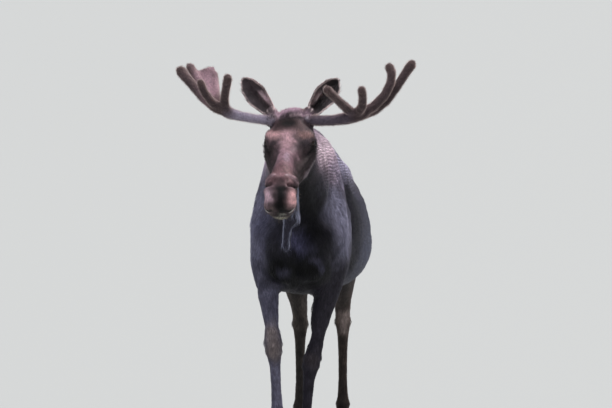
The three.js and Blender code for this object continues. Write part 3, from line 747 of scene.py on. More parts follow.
def close_lids(points, name):
    """The points with the skin closed round one eye, and how far each is from the opening."""
    axes = eye_frame(name)
    side = 1 if name == "eye_left" else -1
    place = EYES[name] - LEFT * side * EYE_SET_BACK
    eye_axes[name] = axes
    eye_places[name] = place
    a, b, height = ((points - place) @ axes.T).T
    flat = np.hypot(a, b)
    near = (flat < EYE_REACH * EYE_RADIUS) & (height > EYE_BACK * EYE_RADIUS)
    half = np.where(b > 0, OPENING[1], OPENING[1] * LOWER_LID_SHARE)
    round_gap = np.sqrt((a / OPENING[0]) ** 2 + (b / half) ** 2)
    ball = EYE_RADIUS + LID_THICKNESS
    steep = flat / ball > LID_TURN
    lid = np.sqrt(np.maximum(ball**2 - np.minimum(flat, ball * LID_TURN) ** 2, 0))
    lid = np.where(steep, lid - (flat - ball * LID_TURN) * LID_FALL, lid)
    over = eased((round_gap - 1.0) / LID_REACH)
    raised = lid * (1 - over) + soft_max(lid, height, LID_BLEND) * over
    sunk = np.sqrt(np.maximum(EYE_RADIUS**2 - flat**2, 0)) * SINK
    inside = eased((1.0 - round_gap) / RIM_SOFTNESS)
    inner = lid * (1 - inside) + sunk * inside
    height = np.where(near, np.where(round_gap > 1, raised, inner), height)
    moved = place + np.column_stack([a, b, height]) @ axes
    return np.where(near[:, None], moved, points), round_gap


skin_points = points_of(skin_mesh)
eye_gap = np.full(len(skin_points), FAR)
for name in EYES:
    skin_points, gap = close_lids(skin_points, name)
    close = np.linalg.norm(skin_points - eye_places[name], axis=1) < EYE_REACH * EYE_RADIUS
    eye_gap = np.where(close, np.minimum(eye_gap, gap), eye_gap)
put_points(skin_mesh, skin_points)
print("lids closed over", int((eye_gap < 1).sum()), "points inside the openings")

# %% [markdown]
# ## Unwrap the skin
# A game engine or a viewer paints a model through a flat map of its skin. The unwrap is made
# from the skin's own shape. Later each tuft borrows the spot of the map where it grows, so coat
# and skin carry the same markings.

# %% Make the skin's object and its map
MAP_NAME = "OFBake"
UNWRAP_ANGLE = math.radians(66)
UNWRAP_MARGIN = 0.002


def smooth_shaded(mesh):
    mesh.polygons.foreach_set("use_smooth", np.ones(len(mesh.polygons), bool))
    mesh.update()


def unwrapped(piece):
    """Give a piece its map, laid out from its own shape."""
    piece.data.uv_layers.new(name=MAP_NAME)
    for other in bpy.context.selected_objects:
        other.select_set(False)
    bpy.context.view_layer.objects.active = piece
    piece.select_set(True)
    bpy.ops.object.mode_set(mode="EDIT")
    bpy.ops.mesh.select_all(action="SELECT")
    bpy.ops.uv.smart_project(angle_limit=UNWRAP_ANGLE, island_margin=UNWRAP_MARGIN)
    bpy.ops.object.mode_set(mode="OBJECT")
    piece.select_set(False)


smooth_shaded(skin_mesh)
skin = new_object("skin", skin_mesh)
unwrapped(skin)
print("skin unwrapped", round(time.time() - STARTED, 1), "s")

# %% [markdown]
# ## Colours of the coat
# The coat is nearly black, and tan on the hind legs. The mauve brown of the neck, the crown and
# the bridge of the nose is partly the hair's own colour and partly painted light from above, and
# the blue cast below is painted sky sheen. Other zones paint highlights on edges and bulges, and
# shade in hollows, folds, under the breast and between the legs. Painting by hand or an image
# would work, but neither can be rebuilt from this file. Each marking is a named zone here: a path,
# a reach and a colour laid over those before it, so their order matters. Skin and tufts ask the
# same function, so that they always agree.

# %% The table of zones
ANY = None
FROM_ABOVE = (0, 0, 1)
FROM_AHEAD = (0, -1, 0.1)
BASE_COLOUR = (0.040, 0.036, 0.050)

# name, frame, sides, reach in millimetres, strength, the side it is seen from, colour, path.
ZONES = [
    # Lighter on faces turned up: bleached hair, and painted light from above on the back.
    ("bleached back", BODY, ONE, 300, 0.75, FROM_ABOVE, (0.24, 0.19, 0.24),
     (0, -300, 1640), (0, 200, 1690), (0, 700, 1560), (0, 1150, 1480)),
    ("barrel", BODY, BOTH, 210, 0.55, ANY, (0.05, 0.048, 0.07), (280, 450, 1250), (280, 800, 1200)),
    # Bluish belly: painted sky sheen on the dark hair.
    ("belly", BODY, BOTH, 150, 0.7, ANY, (0.085, 0.094, 0.15), (266, 380, 1040), (262, 640, 1030)),
    ("under the belly", BODY, ONE, 165, 0.8, ANY, (0.03, 0.03, 0.042), (0, 300, 860), (0, 760, 880)),
    # Near black: painted shade in the hollow behind the shoulder.
    ("hollow behind the shoulder", BODY, BOTH, 120, 0.9, ANY, (0.012, 0.011, 0.016),
     (240, 280, 1350), (246, 290, 1240), (236, 200, 1040)),
    # Pale bluish strips: painted rim light along the edge of the back, stronger on the left.
    ("edge of the back, left", BODY, ONE, 70, 0.8, ANY, (0.46, 0.42, 0.58),
     (150, 120, 1600), (196, 250, 1490), (215, 420, 1450), (205, 600, 1464)),
    ("edge of the back, right", BODY, ONE, 70, 0.4, ANY, (0.34, 0.31, 0.42),
     (-150, 120, 1600), (-196, 250, 1490), (-215, 420, 1450), (-205, 600, 1464)),
    # Bluish shoulder: painted sky sheen and a painted highlight along its contour.
    ("shoulder", BODY, BOTH, 100, 0.8, ANY, (0.32, 0.31, 0.43),
     (184, -126, 1310), (196, -104, 1240), (204, -80, 1150)),
    # Painted sky sheen along the upper edge of the shoulder.
    ("hazy edge of the shoulder", BODY, BOTH, 100, 0.9, ANY, (0.3, 0.27, 0.38),
     (160, -40, 1500), (195, 80, 1500)),
    # Mauve neck: partly the hair's brown, partly painted light from above.
    ("side of the neck", BODY, BOTH, 108, 0.97, ANY, (0.5, 0.36, 0.44),
     (95, -470, 1660), (125, -300, 1600), (132, -150, 1580), (124, 30, 1596)),
    # Pale band: painted light on the neck behind the cheek.
    ("light behind the cheek", BODY, BOTH, 58, 0.8, ANY, (0.68, 0.54, 0.61),
     (118, -400, 1610), (128, -220, 1575), (124, 20, 1592)),
    ("crest of the neck", BODY, ONE, 90, 0.5, ANY, (0.16, 0.115, 0.14), (0, -480, 1740), (0, -60, 1690)),
    # Bluish: painted sky sheen on the right shoulder.
    ("right shoulder", BODY, ONE, 120, 0.8, ANY, (0.25, 0.24, 0.36),
     (-178, -175, 1280), (-205, -140, 1100)),
    # Darker where the breast faces ahead: painted shade.
    ("breast", BODY, ONE, 170, 0.7, FROM_AHEAD, (0.022, 0.021, 0.032), (-60, -240, 1240), (0, -280, 1060)),
    # Bluish: painted sky sheen on the top of the breast.
    ("upper breast", BODY, ONE, 44, 0.85, ANY, (0.14, 0.135, 0.25), (0, -298, 1160), (34, -296, 1120)),
    # Bluish: painted sky sheen beside the breast, on the animal's right.
    ("left of the breast", BODY, ONE, 46, 0.7, ANY, (0.12, 0.115, 0.18),
     (-168, -200, 1240), (-172, -190, 1130)),
    # Near black: painted shade in the throat below the head and bell.
    ("throat", BODY, ONE, 94, 0.97, ANY, (0.002, 0.002, 0.003),
     (60, -500, 1420), (84, -330, 1290), (102, -285, 1195)),
    # Near black: painted shade under the breast muscles.
    ("lower breast", BODY, ONE, 96, 0.985, ANY, (0.001, 0.001, 0.0015),
     (-130, -215, 960), (-76, -262, 1020), (0, -276, 1000), (84, -262, 1020), (130, -215, 960)),
    # Near black: painted shade under the breast.
    ("floor of the breast", BODY, ONE, 80, 0.98, ANY, (0.001, 0.001, 0.0015),
     (-70, -180, 925), (70, -180, 925)),
    # Near black: painted shade between the forelegs.
    ("between the legs", BODY, ONE, 110, 0.9, ANY, (0.006, 0.005, 0.007), (0, -60, 850), (0, 150, 840)),
    # Painted highlight on the top of the right breast muscle.
    ("breast muscle, right", BODY, ONE, 24, 0.75, ANY, (0.06, 0.056, 0.088),
     (-70, -266, 994), (-52, -268, 998)),
    # Painted highlight: a lit rim round the left breast muscle.
    ("breast muscle, left", BODY, ONE, 17, 0.65, ANY, (0.09, 0.085, 0.135),
     (70, -275, 1068), (106, -258, 1048), (124, -240, 1005)),
    ("haunch", BODY, BOTH, 170, 0.6, ANY, (0.085, 0.076, 0.092), (190, 1000, 1380), (190, 1000, 1180)),
    ("rump", BODY, ONE, 110, 0.55, ANY, (0.13, 0.11, 0.11), (0, 1230, 1350), (0, 1180, 1150)),
    ("foreleg_left", BODY, ONE, 60, 0.93, ANY, (0.033, 0.028, 0.04),
     (130, -10, 950), (61, -4, 585), (14, 0, 120)),
    # Lighter and bluer than the left foreleg: paler leg hair with painted sky sheen.
    ("foreleg_right", BODY, ONE, 60, 0.9, ANY, (0.19, 0.18, 0.26),
     (-155, -95, 950), (-116, -230, 680), (-100, -150, 220)),
    ("brown knee, right", BODY, ONE, 46, 0.85, ANY, (0.25, 0.2, 0.19),
     (-120, -262, 715), (-110, -262, 620)),
    ("brown knee, left", BODY, ONE, 40, 0.4, ANY, (0.11, 0.088, 0.09), (52, -44, 560)),
    ("hindleg_left", BODY, ONE, 84, 0.94, ANY, (0.105, 0.076, 0.062),
     (122, 1060, 860), (107, 1240, 610), (107, 1200, 110)),
    ("hindleg_right", BODY, ONE, 84, 0.94, ANY, (0.115, 0.092, 0.078),
     (-112, 940, 860), (-97, 1090, 610), (-97, 1050, 110)),
    # Darker where the shins face ahead: painted shade.
    ("dark shin, left", BODY, ONE, 34, 0.85, FROM_AHEAD, (0.02, 0.016, 0.016),
     (128, 960, 880), (118, 1120, 740), (110, 1170, 690), (107, 1190, 540), (107, 1200, 200)),
    ("dark shin, right", BODY, ONE, 40, 0.85, FROM_AHEAD, (0.016, 0.014, 0.014),
     (-114, 840, 880), (-104, 1010, 690), (-97, 1050, 560), (-97, 1050, 200)),
    ("pale hock, left", BODY, ONE, 32, 0.85, ANY, (0.42, 0.33, 0.31),
     (126, 1192, 655), (122, 1204, 600)),
    ("pasterns", BODY, ONE, 34, 0.5, ANY, (0.1, 0.085, 0.08), (17, 10, 170), (12, -30, 110)),
    ("head", HEAD, ONE, 150, 0.92, ANY, (0.075, 0.05, 0.048), (0, 40, -120), (0, 560, -120)),
    # Dark sides of the face: dark hair deepened by painted shade.
    ("side of the face", HEAD, BOTH, 40, 0.92, ANY, (0.034, 0.025, 0.026),
     (116, 200, -92), (106, 300, -106), (94, 400, -124), (90, 470, -130)),
    # Bridge of the nose: mauve hair lightened by painted light from above.
    ("lower bridge", HEAD, ONE, 66, 1.0, ANY, (0.28, 0.155, 0.18),
     (6, 380, 0), (6, 440, 8), (4, 540, 4)),
    # Painted highlight high on the bridge.
    ("upper bridge", HEAD, ONE, 35, 1.0, ANY, (0.64, 0.39, 0.43), (-6, 184, -6), (-2, 250, -8)),
    ("middle of the bridge", HEAD, ONE, 56, 0.95, ANY, (0.34, 0.205, 0.245), (6, 300, -8), (8, 370, -4)),
    # Painted highlight along the bridge.
    ("shine of the bridge", HEAD, ONE, 15, 0.3, ANY, (0.55, 0.42, 0.52), (10, 340, -6), (14, 400, -4)),
    ("top of the muzzle", HEAD, BOTH, 34, 0.95, ANY, (0.22, 0.12, 0.13), (26, 480, 2), (38, 540, -6)),
    # Painted light on the brow ridges, brighter on the right.
    ("brow, right", HEAD, ONE, 25, 0.97, ANY, (0.74, 0.43, 0.44), (-90, 168, -24), (-60, 182, -12)),
    ("brow, left", HEAD, ONE, 23, 0.96, ANY, (0.34, 0.19, 0.18), (90, 168, -24), (62, 180, -12)),
    ("forehead", HEAD, ONE, 56, 0.9, ANY, (0.12, 0.07, 0.072), (-44, 118, -6), (46, 122, -6)),
    # Crown band: mauve hair lightened by painted light from above.
    ("crown", HEAD, ONE, 38, 0.96, ANY, (0.4, 0.26, 0.33),
     (-62, 28, -4), (-30, 2, 2), (0, -6, 4), (34, 4, 2), (66, 30, -4)),
    # Near black: painted shade in the folds of the crown.
    ("fold of the crown", HEAD, ONE, 9, 0.97, ANY, (0.006, 0.0045, 0.006),
     (-48, 54, -6), (-20, 37, 0), (12, 28, -2), (42, 28, -4), (66, 44, -12)),
    ("second fold of the crown", HEAD, ONE, 9, 0.95, ANY, (0.006, 0.0045, 0.006),
     (-54, 78, -8), (-20, 74, 0), (10, 72, 1), (42, 66, -6), (58, 70, -12)),
    ("light spot of the crown", HEAD, ONE, 7, 0.85, ANY, (0.62, 0.45, 0.48), (-4, 55, 0), (40, 47, -2)),
    ("dark of the forehead", HEAD, ONE, 42, 0.985, ANY, (0.006, 0.0045, 0.005),
     (-20, 109, -4), (2, 113, -4)),
    # Painted shadow of the antlers on the head.
    ("shade of the antlers", HEAD, BOTH, 26, 0.88, ANY, (0.026, 0.02, 0.024),
     (104, 84, -36), (100, 112, -44)),
    # Painted highlight along the edge of the cheek.
    ("edge of the cheek", HEAD, BOTH, 12, 0.85, ANY, (0.36, 0.285, 0.315),
     (124, 156, -92), (120, 180, -120), (112, 200, -141), (98, 250, -150), (80, 310, -158)),
    ("neck behind the jaw", HEAD, BOTH, 60, 0.7, ANY, (0.05, 0.04, 0.046),
     (80, 80, -220), (80, 200, -240)),
    ("muzzle between the nostrils", HEAD, ONE, 36, 0.85, ANY, (0.06, 0.034, 0.037),
     (4, 566, -6), (6, 592, -14)),
    ("pad of the nose, right", HEAD, ONE, 31, 0.98, ANY, (0.62, 0.42, 0.48),
     (-60, 606, -44), (-56, 630, -54), (-72, 616, -82)),
    ("pad of the nose, left", HEAD, ONE, 31, 0.98, ANY, (0.86, 0.49, 0.5),
     (70, 608, -50), (66, 632, -64), (74, 616, -88)),
    ("floor of the pads", HEAD, BOTH, 20, 0.8, ANY, (0.2, 0.14, 0.145),
     (34, 660, -86), (56, 644, -100), (72, 618, -112)),
    # Near black: painted shade under the nose pads.
    ("under the pad", HEAD, BOTH, 10, 0.95, ANY, (0.006, 0.005, 0.005),
     (30, 664, -102), (46, 656, -108), (60, 642, -112)),
    ("strip of the nose", HEAD, ONE, 23, 0.99, ANY, (0.0015, 0.001, 0.0015),
     (8, 600, -22), (11, 640, -50), (11, 652, -72)),
    ("foot of the strip", HEAD, ONE, 33, 0.98, ANY, (0.002, 0.0015, 0.002),
     (11, 660, -88), (11, 662, -112)),
    # Painted highlight on the rim of each nostril.
    ("rim of the nostril", HEAD, BOTH, 9, 0.85, ANY, (0.42, 0.29, 0.32),
     (30, 520, 0), (56, 508, -24), (72, 512, -56)),
    # Near black: painted shade inside the nostrils.
    ("nostril", HEAD, BOTH, 9.5, 1.0, ANY, (0.008, 0.006, 0.007),
     (46, 572, -20), (57, 560, -31), (67, 547, -50), (73, 530, -72)),
    ("rim of the lip", HEAD, BOTH, 5, 0.97, ANY, (0.9, 0.84, 0.8),
     (66, 634, -112), (56, 650, -118), (44, 658, -124)),
    ("pale edge of the lip", HEAD, ONE, 9, 0.85, ANY, (0.26, 0.25, 0.22),
     (2, 654, -132), (24, 652, -130)),
    # Painted shade in the line of the mouth.
    ("line of the mouth", HEAD, BOTH, 7, 0.95, ANY, (0.012, 0.01, 0.011),
     (70, 352, -164), (62, 480, -164), (56, 590, -166), (30, 638, -166), (0, 648, -162)),
    ("chin", HEAD, ONE, 32, 0.92, ANY, (0.36, 0.34, 0.27), (0, 612, -184), (0, 600, -204)),
    ("lower lip", HEAD, BOTH, 12, 0.6, ANY, (0.16, 0.13, 0.12), (56, 500, -182), (48, 590, -184)),
    ("lid", HEAD, BOTH, 21, 0.97, ANY, (0.012, 0.01, 0.011), (112, 174, -66), (110, 194, -72)),
    ("slit before the eye", HEAD, BOTH, 10, 0.9, ANY, (0.014, 0.011, 0.012),
     (104, 212, -82), (92, 244, -92)),
    ("bell", BODY, ONE, 70, 0.92, ANY, (0.042, 0.04, 0.062),
     (6, -700, 1400), (14, -688, 1290), (-12, -676, 1170)),
    ("back of the ear, left", BODY, ONE, 60, 0.9, ANY, (0.15, 0.11, 0.11),
     (119, -560, 1806), (222, -490, 1936)),
    ("back of the ear, right", BODY, ONE, 60, 0.9, ANY, (0.15, 0.11, 0.11),
     (-118, -560, 1806), (-238, -490, 1936)),
    # Near black: painted shadow inside the left ear.
    ("inside of the ear, left", BODY, ONE, 42, 0.985, FROM_AHEAD, (0.001, 0.001, 0.001),
     (125, -578, 1812), (212, -530, 1920)),
    ("inside of the ear, right", BODY, ONE, 40, 0.95, FROM_AHEAD, (0.04, 0.03, 0.034),
     (-130, -578, 1812), (-226, -530, 1920)),
    # Reddish brown hair lightened by painted light on the folded side of the right ear.
    ("folded side of the ear, right", BODY, ONE, 17, 0.95, ANY, (0.52, 0.35, 0.39),
     (-134, -560, 1863), (-88, -590, 1821), (-56, -600, 1792)),
    ("folded side of the ear, left", BODY, ONE, 15, 0.95, ANY, (0.2, 0.13, 0.13),
     (130, -560, 1863), (90, -590, 1821), (60, -600, 1792)),
    # Pale lines: painted rim light along the front edges of the ears.
    ("front edge of the ear, right", BODY, ONE, 5, 0.95, ANY, (0.85, 0.68, 0.66),
     (-140, -562, 1876), (-131, -575, 1844), (-122, -590, 1800), (-98, -600, 1774)),
    ("front edge of the ear, left", BODY, ONE, 4.5, 0.95, ANY, (0.8, 0.66, 0.66),
     (140, -562, 1880), (126, -575, 1844), (112, -590, 1806), (94, -600, 1780)),
]
print(len(ZONES), "zones")

# %% [markdown]
# A real marking has no drawn outline. A smooth noise, a sum of a few waves in random directions
# from a fixed seed, makes each zone's edge waver, and the colour falls off softly. A zone may also
# be limited to the side that faces a way, such as the inside of an ear. The same limit paints
# light on faces turned up and shade on faces turned ahead.

# %% Lay the zones over each other
ZONE_WAVER = 0.22
ZONE_WAVER_SIZE = 1.6
ZONE_EDGE = 2.4
ZONE_LIMIT = 2.4
FACING_GAIN = 1.2
FACING_OFFSET = 0.25
WAVES = 7
WAVE_SPREAD = (0.6, 1.6)
WAVE_SCALE = 3.2
COLOUR_NAME = "coat"
SKIN_SHADE = 0.8


def wavering(points, size, seed):
    """A smooth noise between about -1 and 1 with features of about a size."""
    random = np.random.default_rng(seed)
    total = np.zeros(len(points))
    for _ in range(WAVES):
        way = unit(random.normal(size=3)) * 2 * math.pi / size * random.uniform(*WAVE_SPREAD)
        total += np.sin(points @ way + random.uniform(0, 2 * math.pi))
    return total / WAVE_SCALE


def path_distance(points, path):
    """How far each point is from a path of one or more places."""
    if len(path) == 1:
        return np.linalg.norm(points - path[0], axis=1)
    gaps = [line_distance(points, *ends) for ends in zip(path[:-1], path[1:])]
    return np.min(gaps, axis=0)


def painted(points, normals, base, zones):
    """The base colour with every zone laid over it in turn."""
    colour = np.tile(np.array(base), (len(points), 1))
    for number, (_, where, sides, reach, strength, seen, tone, *path) in enumerate(zones):
        place = head_at if where == HEAD else body_at
        size = reach * MM
        waver = 1 + ZONE_WAVER * wavering(points, size * ZONE_WAVER_SIZE, number)
        for side in (1, -1) if sides == BOTH else (1,):
            line = place(*[(side * x, y, z) for x, y, z in path])
            low = line.min(0) - ZONE_LIMIT * size
            high = line.max(0) + ZONE_LIMIT * size
            near = np.flatnonzero(((points > low) & (points < high)).all(1))
            gap = path_distance(points[near], line) / size * waver[near]
            weight = strength * np.exp(-(gap**ZONE_EDGE))
            if seen is not ANY:
                weight = weight * eased(normals[near] @ unit(seen) * FACING_GAIN + FACING_OFFSET)
            colour[near] += (np.array(tone) - colour[near]) * weight[:, None]
    return colour


def coat_colour(points, normals):
    return painted(points, normals, BASE_COLOUR, ZONES)


def give_colour(mesh, colour):
    """Keep a colour for each point on the mesh, where its material finds it."""
    layer = mesh.color_attributes.new(COLOUR_NAME, "FLOAT_COLOR", "POINT")
    full = np.ones((len(mesh.vertices), 4), np.float32)
    full[:, :3] = colour
    layer.data.foreach_set("color", full.ravel())


skin_points = points_of(skin_mesh)
skin_normals = normals_of(skin_mesh)
give_colour(skin_mesh, coat_colour(skin_points, skin_normals) * SKIN_SHADE)
print("zones laid on", len(skin_points), "points", round(time.time() - STARTED, 1), "s")

# %% [markdown]
# ## Materials of skin and coat
# Both take the colour of the zones from the mesh. The skin adds a fine pore pattern in bump and
# small changes of tone. Hair shines along its edges when light comes from behind, which the
# sheen of the shader gives. It is a constant on the shader's own socket.
# All coat materials are wired alike, so one function makes them from a few values.

# %% One recipe for coat, velvet, horn and eye
TONE_FROM = 0.3
TONE_TO = 0.7
ROUGH_LESS = 0.08
ROUGH_MORE = 0.1
SPECKLE_DETAIL = 4
PORE_DETAIL = 3
BUMP_STRENGTH = 0.7


def node_material(name):
    material = bpy.data.materials.new(name)
    material.use_nodes = True
    return material, material.node_tree.nodes, material.node_tree.links


def set_values(shader, values):
    for key, value in values.items():
        shader.inputs[key].default_value = value


def noise_node(nodes, links, scale, detail, stretch=(1, 1, 1)):
    place = nodes.new("ShaderNodeTexCoord")
    mapping = nodes.new("ShaderNodeMapping")
    mapping.inputs["Scale"].default_value = stretch
    noise = nodes.new("ShaderNodeTexNoise")
    noise.inputs["Scale"].default_value = scale
    noise.inputs["Detail"].default_value = detail
    links.new(place.outputs["Object"], mapping.inputs["Vector"])
    links.new(mapping.outputs["Vector"], noise.inputs["Vector"])
    return noise


def tone_range(nodes, links, source, low, high):
    """The middle of a noise, stretched to run from low to high."""
    spread = nodes.new("ShaderNodeMapRange")
    spread.inputs["From Min"].default_value = TONE_FROM
    spread.inputs["From Max"].default_value = TONE_TO
    spread.inputs["To Min"].default_value = low
    spread.inputs["To Max"].default_value = high
    links.new(source, spread.inputs["Value"])
    return spread.outputs["Result"]


def coat_material(name, noise_scale, tone, bump_scale, bump_depth, stretch, values):
    """Mesh colour times a noise, with a second noise as bump."""
    material, nodes, links = node_material(name)
    shader = nodes["Principled BSDF"]
    set_values(shader, values)
    colour = nodes.new("ShaderNodeVertexColor")
    colour.layer_name = COLOUR_NAME
    speckle = noise_node(nodes, links, noise_scale, SPECKLE_DETAIL, stretch)
    mix = nodes.new("ShaderNodeVectorMath")
    mix.operation = "SCALE"
    links.new(colour.outputs["Color"], mix.inputs[0])
    links.new(tone_range(nodes, links, speckle.outputs["Fac"], *tone), mix.inputs["Scale"])
    links.new(mix.outputs["Vector"], shader.inputs["Base Color"])
    middle_rough = values["Roughness"]
    rough = tone_range(
        nodes, links, speckle.outputs["Fac"], middle_rough - ROUGH_LESS, middle_rough + ROUGH_MORE,
    )
    links.new(rough, shader.inputs["Roughness"])
    pores = noise_node(nodes, links, bump_scale, PORE_DETAIL, stretch)
    bump = nodes.new("ShaderNodeBump")
    bump.inputs["Distance"].default_value = bump_depth
    bump.inputs["Strength"].default_value = BUMP_STRENGTH
    links.new(pores.outputs["Fac"], bump.inputs["Height"])
    links.new(bump.outputs["Normal"], shader.inputs["Normal"])
    return material


# %% [markdown]
# Hair of the body is long and glossy, hair of the face short and duller with a pinker shine. The
# skin below is rougher still, because it only shows in the gaps. Each noise is drawn out in the
# way that most of its hair lies.

# %% Skin, guard hair and face hair
SHEEN_BLUE = (0.78, 0.80, 1.0, 1)
SHEEN_PINK = (1.0, 0.88, 0.9, 1)
hide_material = coat_material(
    "hide", 60, (0.75, 1.2), 420, 0.0012, (1, 1, 0.35),
    {"Roughness": 0.55, "Specular IOR Level": 0.2, "Sheen Weight": 0.05, "Sheen Tint": SHEEN_BLUE},
)
hair_material = coat_material(
    "guard hair", 90, (0.72, 1.28), 900, 0.0004, (1, 1, 0.25),
    {"Roughness": 0.45, "Specular IOR Level": 0.14, "Sheen Weight": 0.07, "Sheen Roughness": 0.3,
     "Sheen Tint": SHEEN_BLUE},
)
face_material = coat_material(
    "face hair", 110, (0.78, 1.22), 1100, 0.0003, (1, 0.5, 0.5),
    {"Roughness": 0.5, "Specular IOR Level": 0.14, "Sheen Weight": 0.05, "Sheen Roughness": 0.3,
     "Sheen Tint": SHEEN_PINK},
)
skin_mesh.materials.append(hide_material)
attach(skin, "root")
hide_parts(*FLESH)
print("skin stands for", len(FLESH), "solids")

# %% [markdown]
# ## Tufts
# Particle hair would not leave Blender as mesh, so the coat is made of small closed tufts. Each
# starts as one point under the skin, widens to a flat three-sided section, lies back along the
# coat and ends in a tip. Long ones have two sections and can bend. Their shading is borrowed
# mostly from the skin below, so the coat gleams as one sleek surface, not as a heap of chips.
#
# Roots thrown at random leave bald spots and clumps. Here the skin's triangles are visited along
# a folded curve, near ones one after another, and a root is set each time enough area has gone by.

# %% Spread the roots
ORDER_CELL = 0.004
ORDER_BITS = 10


def triangles_of(mesh):
    """Points and face corners of each triangle."""
    mesh.calc_loop_triangles()
    corners = np.empty(len(mesh.loop_triangles) * 3, np.int64)
    mesh.loop_triangles.foreach_get("vertices", corners)
    loops = np.empty(len(mesh.loop_triangles) * 3, np.int64)
    mesh.loop_triangles.foreach_get("loops", loops)
    return corners.reshape(-1, 3), loops.reshape(-1, 3)


def curve_order(points):
    """An order that visits near points one after another, along a folded curve through space."""
    cells = ((points - points.min(0)) / ORDER_CELL).astype(np.int64)
    key = np.zeros(len(points), np.int64)
    for bit in range(ORDER_BITS):
        for axis in range(3):
            key |= ((cells[:, axis] >> bit) & 1) << (3 * bit + axis)
    return np.argsort(key, kind="stable")


def spread_roots(points, triangles, per_area, random):
    """Triangle numbers and weights of roots spaced evenly; per_area is roots per square metre."""
    a, b, c = (points[triangles[:, k]] for k in range(3))
    area = np.linalg.norm(np.cross(b - a, c - a), axis=1) / 2
    order = curve_order((a + b + c) / 3)
    running = np.cumsum((area * per_area)[order])
    count = int(running[-1])
    picks = (np.arange(count) + random.uniform(0, 1, count)) * running[-1] / max(count, 1)
    chosen = order[np.clip(np.searchsorted(running, picks), 0, len(order) - 1)]
    u, v = random.uniform(0, 1, (2, count))
    flip = u + v > 1
    u, v = np.where(flip, 1 - u, u), np.where(flip, 1 - v, v)
    return chosen, np.column_stack([1 - u - v, u, v])


def blended(values, triangles, chosen, weights):
    """Values of the points, blended at places inside the chosen triangles."""
    picked = values[triangles[chosen]]
    if picked.ndim == 2:
        return (picked * weights).sum(1)
    return (picked * weights[:, :, None]).sum(1)


print("roots are spread along a curve through cells of", ORDER_CELL / MM, "mm")

# %% [markdown]
# ## Ripples in the coat
# On the neck and the ribs the summer coat lies in fine waves across the muscles. Level waves run
# through space, a little wavering, and count only near a few paths. Tufts there are shorter, and
# the waves lift them and tilt their shading; the light and shade of the waves is also painted
# into their tone.

# %% The waves
RIPPLE_GAP = 0.0145
RIPPLE_WAVER = 0.007
RIPPLE_WAVER_SIZE = 0.16
RIPPLE_REACH = 0.125
RIPPLE_SHORTENS = 0.45
RIPPLE_HEIGHT = 0.0012
RIPPLE_SLOPE = 0.42
RIPPLE_PAINTED_LIGHT = 0.62
RIPPLES = (
    ((88, -480, 1640), (125, -300, 1560), (150, -160, 1470), (195, 30, 1500)),
    ((215, 230, 1500), (262, 420, 1380)),
)


def ripple_strength(points):
    gap = np.min([path_distance(points, body_at(*path)) for path in RIPPLES], axis=0)
    return np.exp(-((gap / RIPPLE_REACH) ** 2))


def ripple_wave(points):
    """The place of each point in the waves, as an angle."""
    height = points[:, 2] + RIPPLE_WAVER * wavering(points, RIPPLE_WAVER_SIZE, 8)
    return height * 2 * math.pi / RIPPLE_GAP


print("ripples every", RIPPLE_GAP / MM, "mm")

# %% [markdown]
# ## The shape of a tuft
# One mesh holds thousands of tufts. Making them one by one with operators would be very slow, so
# all points are worked out at once as arrays: a root, rings of three points and a tip. Each tuft
# also gets a small patch of the map at its root's place, and colours that darken at the root.

# %% Build many tufts as one closed mesh
# The patch is measured in sides of the map, the depth of the root in metres.
PATCH = 0.003
SINK_DEPTH = 0.0012
SHORT = ((0.4, 1.0),)
LONG = ((0.26, 0.9), (0.62, 0.85))
THICKNESS = 0.34
END_TONES = (0.78, 1.18)
DROOP = 0.35
SIDE_SHADE = 0.35
TIP_SHADE = 0.25


def tuft_faces(rings):
    """Corner numbers of the triangles of one tuft with so many rings."""
    faces = [(0, 1 + (k + 1) % 3, 1 + k) for k in range(3)]
    for number in range(rings - 1):
        low, high = 1 + 3 * number, 4 + 3 * number
        for k in range(3):
            other = (k + 1) % 3
            faces += [(low + k, low + other, high + other), (low + k, high + other, high + k)]
    last = 1 + 3 * (rings - 1)
    tip = last + 3
    faces += [(last + k, last + (k + 1) % 3, tip) for k in range(3)]
    return np.array(faces)[:, ::-1]


def mesh_of_triangles(name, points, corners):
    """A smooth mesh from points and the point numbers of its triangles, three by three."""
    mesh = bpy.data.meshes.new(name)
    mesh.vertices.add(len(points))
    mesh.vertices.foreach_set("co", points.astype(np.float32).ravel())
    mesh.loops.add(len(corners))
    mesh.loops.foreach_set("vertex_index", corners.astype(np.int32))
    mesh.polygons.add(len(corners) // 3)
    mesh.polygons.foreach_set("loop_start", np.arange(0, len(corners), 3, dtype=np.int32))
    mesh.update(calc_edges=True)
    smooth_shaded(mesh)
    return mesh


